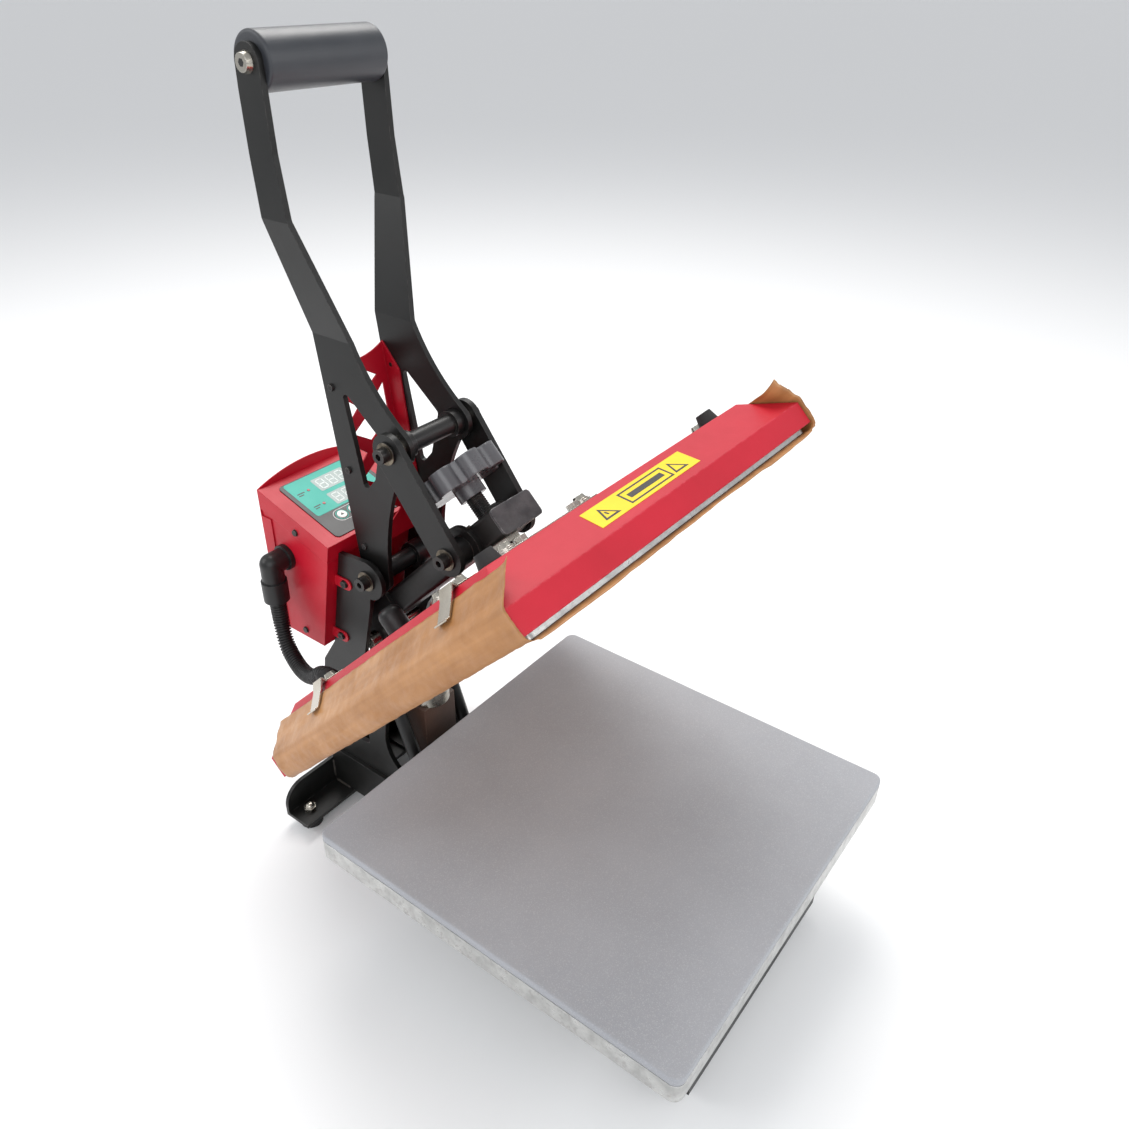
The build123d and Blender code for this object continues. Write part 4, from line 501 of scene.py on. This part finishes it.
def make_release_sheet():
    profile = [(0, -3.8), (184, -3.8), (188.5, -3.6), (192.0, -2.7), (194.3, -0.8), (195.4, 2.0),
               (195.7, 6.0),
               (195.75, 12), (195.75, 19.2), (195.5, 20.6), (194.7, 21.9), (186, 29.5), (178, 36.6),
               (171.2, 42.6)]
    marks = [0.0]
    for a, b in zip(profile, profile[1:]):
        marks.append(marks[-1] + sqrt((b[0] - a[0]) ** 2 + (b[1] - a[1]) ** 2))
    half = marks[-1]
    crease_mark = marks[8]
    stations = [186.0 * i / 16 for i in range(16)] + [186.0 + (half - 186.0) * i / 46 for i in range(47)]
    across = [-s for s in reversed(stations[1:])] + stations

    def at(s):
        distance = min(abs(s), half)
        k = 0
        while k < len(marks) - 2 and marks[k + 1] < distance:
            k += 1
        share = (distance - marks[k]) / (marks[k + 1] - marks[k])
        (ax, az), (bx, bz) = profile[k], profile[k + 1]
        span = sqrt((bx - ax) ** 2 + (bz - az) ** 2)
        normal = ((bz - az) / span, -(bx - ax) / span)
        sign = 1 if s >= 0 else -1
        return sign * (ax + (bx - ax) * share), az + (bz - az) * share, sign * normal[0], normal[1]

    rows = 170
    verts = []
    for i in range(rows + 1):
        v = i / rows
        for s in across:
            x, z, nx, nz = at(s)
            rise = max(0.0, (abs(s) - 186) / (half - 186))
            side = 1 if s >= 0 else -1
            tear = 2.2 * noise.noise(Vector((s * 0.11, 3.1, side)))
            tear += 0.8 * noise.noise(Vector((s * 0.5, 1.1, side)))
            front = FRONT_EDGE + 0.8 * tear - 1.5 * rise
            rear = REAR_EDGE + 1.6 * tear * (1 if rise > 0 else 0.3)
            y = front + (rear - front) * v
            wrinkle = noise.noise(Vector((x * 0.02 + side * 7, y * 0.045, z * 0.10)))
            small = noise.noise(Vector((x * 0.05, y * 0.16, z * 0.22 + 9)))
            if rise > 0:
                belly = 0.7 * sin(pi * min(1, rise * 2.2)) * max(0, wrinkle)
                lift = 0.35 + 1.0 * max(0, wrinkle) + 0.4 * small + belly
                crease = abs(abs(s) - crease_mark)
                lift *= 0.35 + 0.65 * min(1, crease / 6)
                hold = min(1 - exp(-((y - clip) / 17) ** 2) for clip in CLIP_Y)
                lift = 0.15 + (lift - 0.15) * (0.25 + 0.75 * hold if rise > 0.45 else 1)
            else:
                lift = 0.12 + 0.15 * abs(small)
            lift = max(0.05, lift)
            ahead = max(0.0, -447 - y)
            if rise > 0:
                lift += (ahead / 18) ** 2 * (1.2 + 5.0 * max(0, rise - 0.35) * (1 + 0.3 * side))
            elif y < -457.5:
                lift += (-457.5 - y) * (0.45 + 0.25 * wrinkle)
            behind = max(0.0, y - REAR_EDGE - 12.5)
            if rise > 0.3:
                lift += (behind / 14) ** 2 * 1.6 * rise
            verts.append(on_arm(x + nx * lift, y, z + nz * lift))
    sheet = add_mesh("release_sheet_cloth", verts, grid_faces(rows + 1, len(across), False), "release_film",
                     "platen", SLOTS["release_sheet"])
    solid = sheet.modifiers.new("gauge", "SOLIDIFY")
    solid.thickness = 0.00025
    solid.offset = 0
    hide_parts("release_sheet")


make_release_sheet()


# ---------------------------------------------------------------- silicone pad
def make_pad():
    low, high = (Vector(corner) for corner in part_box("silicone_pad"))
    middle = (low + high) / 2
    width, depth = (high.x - low.x) / MM, (high.y - low.y) / MM
    rings = [(0.7, 0.0), (0.1, 0.6), (0.0, 3.5), (0.1, 6.6), (0.35, 7.4), (0.9, 7.85), (1.8, 8.0),
             (4.0, 8.0)]
    verts = []
    columns = 0
    for inset, height in rings:
        outline = []
        corners = rounded_outline(width - 2 * inset, depth - 2 * inset, max(3, 9 - inset), steps=8)
        for a, b in zip(corners, corners[1:] + corners[:1]):
            pieces = max(1, int(sqrt((b[0] - a[0]) ** 2 + (b[1] - a[1]) ** 2) / 6 + 0.5))
            outline += [(a[0] + (b[0] - a[0]) * i / pieces, a[1] + (b[1] - a[1]) * i / pieces)
                        for i in range(pieces)]
        columns = columns or len(outline)
        while len(outline) < columns:
            outline.append(outline[-1])
        for a, b in outline[:columns]:
            wave = 0.22 * noise.noise(Vector((a * 0.03, b * 0.03, 0.4)))
            shrink = 1 - (0.1 + wave) / 190
            verts.append(Vector((middle.x, middle.y, low.z)) + Vector((a * shrink, b * shrink,
                                                                       height)) * MM)
    faces = grid_faces(len(rings), columns, True)
    top = (len(rings) - 1) * columns
    faces.append(tuple(range(columns))[::-1])
    faces.append(tuple(range(top, top + columns)))
    pad = add_mesh("pad_foam", verts, faces, "silicone", "base", SLOTS["silicone_pad"])
    pad.data.polygons[len(faces) - 1].use_smooth = False
    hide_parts("silicone_pad")


make_pad()


# ---------------------------------------------------------------- pressure screw thread
def make_thread(name, low, high):
    columns = 36
    pitch = 2.0
    rows = int((high - low) / (pitch / 8)) + 1
    verts = []
    for i in range(rows):
        z = low + (high - low) * i / (rows - 1)
        ends = min(1, (z - low) / 1.0, (high - z) / 1.0)
        for j in range(columns):
            angle = 2 * pi * j / columns
            phase = (z / pitch - j / columns) % 1
            radius = 7.52 + 0.75 * (1 - abs(2 * phase - 1)) * max(0, ends)
            verts.append(on_arm(radius * cos(angle), PLATEN_Y + radius * sin(angle), z))
    add_mesh(name, verts, grid_faces(rows, columns, True), "black_oxide", "knob", SLOTS["pressure_screw"])


make_thread("screw_thread_upper", 89.9, 109.2)
make_thread("screw_thread_lower", 55.5, 59.2)


# ---------------------------------------------------------------- label on the front bevel
def on_bevel(a, b, lift):
    """a across the platen, b up the front bevel from its crease, lift off its sheet."""
    slope = Vector((31.6, 28.0)).normalized()
    return on_arm(a, -461.6 + slope.x * b - slope.y * lift, 20.5 + slope.y * b + slope.x * lift)


def make_label():
    lean = 7.0

    def slanted(left, right, low, high):
        return [(left + lean * low / 30, low), (right + lean * low / 30, low),
                (right + lean * high / 30, high),
                (left + lean * high / 30, high)]

    many_prisms("label_sticker", on_bevel, [slanted(-84, 44, 9, 33)], 0.05, 0.30, "label_yellow", "platen",
                SLOTS["platen_cover"])
    bars = [slanted(-44, 12, 12.5, 14.2), slanted(-44, 12, 27.8, 29.5), slanted(-44, -42, 14.2, 27.8),
            slanted(10, 12, 14.2, 27.8), slanted(-38, 6, 18, 24)]
    for centre in (-63, 27):
        outer = [(centre - 9, 13), (centre + 9, 13), (centre, 28.5)]
        inner = [(centre - 5.8, 15), (centre + 5.8, 15), (centre, 25)]
        for k in range(3):
            nxt = (k + 1) % 3
            bars.append([outer[k], outer[nxt], inner[nxt], inner[k]])
    bars.append([(-64, 17.5), (-62, 17.5), (-62, 21.5), (-64, 21.5)])
    many_prisms("label_print", on_bevel, bars, 0.30, 0.36, "label_black", "platen", SLOTS["platen_cover"])


make_label()


# ---------------------------------------------------------------- printed panel
SEGMENTS = {"a": (0, 1, 1), "b": (1, 0.5, 0), "c": (1, -0.5, 0), "d": (0, -1, 1), "e": (-1, -0.5, 0),
            "f": (-1, 0.5, 0), "g": (0, 0, 1)}


def digit(cx, cy, width, height):
    outlines = []
    half = width / 2 - 0.9
    for sx, sy, flat in SEGMENTS.values():
        x, y = cx + sx * half, cy + sy * (height / 2 - 0.9)
        if flat:
            outlines.append([(x - half + 1.0, y - 0.75), (x + half - 1.0, y - 0.75), (x + half - 0.5, y),
                             (x + half - 1.0, y + 0.75), (x - half + 1.0, y + 0.75), (x - half + 0.5, y)])
        else:
            span = height / 4 - 1.0
            outlines.append([(x - 0.75, y - span), (x, y - span - 0.5), (x + 0.75, y - span),
                             (x + 0.75, y + span),
                             (x, y + span + 0.5), (x - 0.75, y + span)])
    return outlines


def make_panel():
    base_lift = 1.2 + 0.8
    many_prisms("panel_teal", on_lid, [rounded_outline(84.6, 51.6, 3, (0, 61.6))], base_lift,
                base_lift + 0.10,
                "film_teal", "base", SLOTS["membrane_panel"])
    windows = [rounded_outline(39, 18.4, 1.5, (4.5, 70.5)), rounded_outline(39, 17.4, 1.5, (4.5, 47.5))]
    many_prisms("panel_windows", on_lid, windows, base_lift + 0.10, base_lift + 0.16, "film_window", "base",
                SLOTS["membrane_panel"])
    digits = []
    for cy, height in ((70.5, 14.5), (47.5, 13.5)):
        for k in range(3):
            digits += digit(-7.5 + 12 * k, cy, 9, height)
    many_prisms("panel_digits", on_lid, digits, base_lift + 0.16, base_lift + 0.22, "digit_grey", "base",
                SLOTS["membrane_panel"])
    marks = [rounded_outline(9, 1.3, 0.5, (-34, 70)), rounded_outline(6, 1.3, 0.5, (-35.5, 67.2)),
             rounded_outline(8, 1.3, 0.5, (-33, 48)), rounded_outline(5, 1.3, 0.5, (-34.5, 45.2))]
    many_prisms("panel_marks", on_lid, marks, base_lift + 0.10, base_lift + 0.15, "film_black", "base",
                SLOTS["membrane_panel"])
    many_prisms("panel_lamps", on_lid, [disc(1.5, (-24.8, 70)), disc(1.5, (-25, 47.5))], base_lift + 0.10,
                base_lift + 0.5, "lamp_red", "base", SLOTS["membrane_panel"])
    rim = []
    outer = rounded_outline(61, 16, 7.9, (0, 25.8), steps=10)
    inner = rounded_outline(59.6, 14.6, 7.2, (0, 25.8), steps=10)
    for k in range(len(outer)):
        nxt = (k + 1) % len(outer)
        rim.append([outer[k], outer[nxt], inner[nxt], inner[k]])
    many_prisms("panel_rim", on_lid, rim, base_lift, base_lift + 0.08, "film_white", "base",
                SLOTS["membrane_panel"])
    rings = []
    for k in range(4):
        cx = (k - 1.5) * 14.5
        big, small = disc(6.4, (cx, 25.8)), disc(5.5, (cx, 25.8))
        rings += [[big[i], big[(i + 1) % 20], small[(i + 1) % 20], small[i]] for i in range(20)]
    many_prisms("panel_rings", on_lid, rings, base_lift, base_lift + 0.1, "film_teal", "base",
                SLOTS["membrane_panel"])
    for k, body in enumerate(("button_a", "button_b", "button_c", "button_d")):
        cx = (k - 1.5) * 14.5
        shape = [[(cx - 2, 25.2), (cx + 2, 25.2), (cx + 2, 26.4), (cx - 2, 26.4)]] if k == 3 else \
            [[(cx - 2, 24.6), (cx + 2, 24.6), (cx, 27.6)]] if k < 2 else [disc(1.6, (cx, 25.8), 12)]
        many_prisms("button_mark_" + body[-1], on_lid, shape, base_lift + 1.0, base_lift + 1.06,
                    "label_black", body,
                    SLOTS["button_1"])


make_panel()


# ---------------------------------------------------------------- screw recesses, drawn as painted shade
def face_place(origin, normal, across):
    other = normal.cross(across)

    def place(a, b, height):
        return origin + across * (a * MM) + other * (b * MM) + normal * (height * MM)
    return place


def cross_outline(size):
    arm = size * 0.22
    return [(-size, -arm), (-arm, -arm), (-arm, -size), (arm, -size), (arm, -arm), (size, -arm),
            (size, arm),
            (arm, arm), (arm, size), (-arm, size), (-arm, arm), (-size, arm)]


# Each recess is a thin near-black cross laid on a screw head: painted shade standing in for the hollow.
def recess(name, origin, normal, size, body, slot):
    across = normal.orthogonal().normalized()
    many_prisms(name, face_place(origin, normal, across), [cross_outline(size)], 0.0, 0.05, "recess_painted_shade",
                body, slot)


def make_recesses():
    count = 0
    for side in (-1, 1):
        for clip in CLIP_Y:
            origin = on_arm(side * (163.4 - 9), clip, 48.5 + 1.2 + 4.0)
            recess(f"recess_clip_{count}", origin, UP, 2.4, "platen", SLOTS["platen_screws"])
            count += 1
        for y in (-55, 55):
            origin = on_arm(side * 50, PLATEN_Y + y, 52.5 + 3.2 + 4.2)
            recess(f"recess_plate_{count}", origin, UP, 3.0, "platen", SLOTS["platen_screws"])
            count += 1
        normal = X * side
        for z in (152.0, 84.0):
            y = 20.1 + (195.9 - z) * 0.21256 - 13
            recess(f"recess_tab_{count}", on_base(side * (51.5 + 2.4), y, z), normal, 2.0, "base",
                   SLOTS["control_box_screws"])
            count += 1
        for height in (28.0, 104.0, 180.0):
            y = 18 + (height - 3.0) * (29.0 / 220.7) - 10.0
            origin = CRANK + X * (side * 40.0 * MM) + Vector((0, y, height)) * MM
            recess(f"recess_guard_{count}", origin, normal, 1.7, "handle", SLOTS["handle_screws"])
            count += 1
        # Hex sockets of the grip screws, drawn the same way as painted shade.
        grip = CRANK + X * (side * 66.5 * MM) + Vector((0, 51.0, 428.2)) * MM
        place = face_place(grip, normal, Vector((0, 1, 0)))
        many_prisms(f"recess_grip_{side + 1}", place, [disc(3.0, count=6)], 0.0, 0.05, "recess_painted_shade",
                    "handle",
                    SLOTS["handle_screws"])


make_recesses()


# ---------------------------------------------------------------- washers and welds
def ring_piece(name, origin, normal, outer, inner, height, look, body, slot):
    across = normal.orthogonal().normalized()
    big, small = disc(outer, count=32), disc(inner, count=32)
    cells = [[big[i], big[(i + 1) % 32], small[(i + 1) % 32], small[i]] for i in range(32)]
    many_prisms(name, face_place(origin, normal, across), cells, 0.0, height, look, body, slot)


ARM_PIN = on_arm(0, -249.8, 77.0)
for side in (-1, 1):
    for label, centre, face, body in (("crank", CRANK, 50.0, "base"), ("hinge", hinge, 50.0, "base"),
                                      ("upper", LINK, 50.3, "handle"), ("lower", ARM_PIN, 50.0, "link")):
        origin = centre + X * (side * (face + 1.45) * MM)
        ring_piece(f"washer_{label}_{side + 1}", origin, X * side, 9.9, 6.6, 0.12, "washer_tan", body,
                   SLOTS["link_screws"])


def weld(name, points, radius, body):
    """Rippled bead along a line of points."""
    path, length = [], 0.0
    for a, b in zip(points, points[1:]):
        steps = max(2, int((b - a).length / (0.8 * MM)))
        path += [a.lerp(b, i / steps) for i in range(steps)]
    path.append(points[-1])

    def radius_at(i):
        if i in (0, len(path) - 1):
            return radius * 0.3 * MM
        return radius * (0.85 + 0.18 * (i % 3 == 0) + 0.12 * noise.noise(path[i] * 300)) * MM

    verts = tube_rows(path, radius_at, 10)
    faces = grid_faces(len(path), 10, True)
    faces.append(tuple(range(10)))
    faces.append(tuple(range((len(path) - 1) * 10, len(path) * 10)))
    add_mesh(name, verts, faces, "weld", body, SLOTS["rails"])


def make_welds():
    for side in (-1, 1):
        tag = "left" if side < 0 else "right"
        for label, y in (("rear", 71.4), ("front", -431.6)):
            inner = -1 if label == "rear" else 1
            origin = on_base(side * 55, y, 22 - 152.4)
            weld(f"weld_leg_{label}_{tag}", [origin, origin + Vector((0, 0, 24 * MM))], 1.6, "base")
            weld(f"weld_leg_side_{label}_{tag}", [on_base(side * 55.0, y + inner * 2, 17.4 - 152.4),
                                                  on_base(side * 55.0, y + inner * 24, 17.4 - 152.4)], 1.6,
                                                  "base")
        circle = [hinge + X * (side * 30.3 * MM) + Vector((0, cos(a), sin(a))) * (12.2 * MM)
                  for a in [2 * pi * i / 24 for i in range(25)]]
        weld(f"weld_sleeve_{tag}", circle, 1.3, "arm")
        circle = [CRANK + X * (side * 32.6 * MM) + Vector((0, cos(a), sin(a))) * (9.4 * MM)
                  for a in [2 * pi * i / 20 for i in range(21)]]
        weld(f"weld_pivot_{tag}", circle, 1.2, "handle")
        weld(f"weld_bracket_{tag}", [on_base(side * 44.8, -62, 51.5 - 152.4),
                                     on_base(side * 44.8, -20, 51.5 - 152.4)],
             1.5, "base")
        weld(f"weld_ear_{tag}", [on_arm(side * 25.4, -228, 89.3), on_arm(side * 25.4, -271, 89.3)], 1.3,
             "arm")
        weld(f"weld_tube_{tag}", [on_arm(side * 25.4, -111, 88.6), on_arm(side * 25.4, -62, 88.6)], 1.3,
             "arm")


make_welds()


# ---------------------------------------------------------------- mains inlet contacts
def make_contacts():
    face = 112.7 + 1.2
    for index, (x, z) in enumerate(((11, 114.5), (18, 109.5), (4, 109.5))):
        place = face_place(on_base(x, face - 17.9, z), Vector((0, 1, 0)), X)
        many_prisms(f"inlet_contact_{index}", place, [rounded_outline(2.12, 4.12, 0.4)], 0.0, 16.05,
                    "brass", "base",
                    SLOTS["power_inlet"])


make_contacts()


# ---------------------------------------------------------------- studio
def make_stage():
    floor_mat = bpy.data.materials.new("studio_floor")
    floor_mat.use_nodes = True
    tree = floor_mat.node_tree
    shader = tree.nodes["Principled BSDF"]
    shader.inputs["Roughness"].default_value = 0.7
    grain = tree.nodes.new("ShaderNodeTexNoise")
    grain.inputs["Scale"].default_value = 3
    tint = tree.nodes.new("ShaderNodeMix")
    tint.data_type = "RGBA"
    tint.inputs[6].default_value = (0.86, 0.86, 0.86, 1)
    tint.inputs[7].default_value = (0.90, 0.90, 0.90, 1)
    tree.links.new(grain.outputs["Fac"], tint.inputs["Factor"])
    tree.links.new(tint.outputs[2], shader.inputs["Base Color"])
    floor = bpy.data.meshes.new("studio_floor")
    reach = 90
    floor.from_pydata([(-reach, -reach, 0), (reach, -reach, 0), (reach, reach, 0), (-reach, reach, 0)], [],
                      [(0, 1, 2, 3)])
    floor.materials.append(floor_mat)
    ground = bpy.data.objects.new("studio_floor", floor)
    bpy.context.scene.collection.objects.link(ground)
    for name, spot, size, power, colour in (
        ("key_light", (1.0, 0.9, 2.4), 1.4, 44, (1, 0.985, 0.96)),
        ("fill_light", (-1.9, -1.2, 1.6), 1.8, 24, (0.96, 0.98, 1)),
        ("front_light", (0.9, -2.2, 1.3), 1.6, 20, (1, 1, 1)),
        ("rim_light", (-1.2, 1.5, 1.4), 0.9, 12, (1, 1, 1)),
    ):
        data = bpy.data.lights.new(name, "AREA")
        data.shape = "SQUARE"
        data.size = size
        data.energy = power
        data.color = colour
        lamp = bpy.data.objects.new(name, data)
        bpy.context.scene.collection.objects.link(lamp)
        aim = Vector((0, 0, 0.3)) - Vector(spot)
        lamp.matrix_world = Matrix.Translation(spot) @ aim.to_track_quat("-Z", "Y").to_matrix().to_4x4()
    world = bpy.data.worlds.new("studio")
    world.use_nodes = True
    world.node_tree.nodes["Background"].inputs[0].default_value = (0.92, 0.94, 0.97, 1)
    world.node_tree.nodes["Background"].inputs[1].default_value = 0.72
    bpy.context.scene.world = world
    bpy.context.scene.view_settings.view_transform = "Standard"


make_stage()
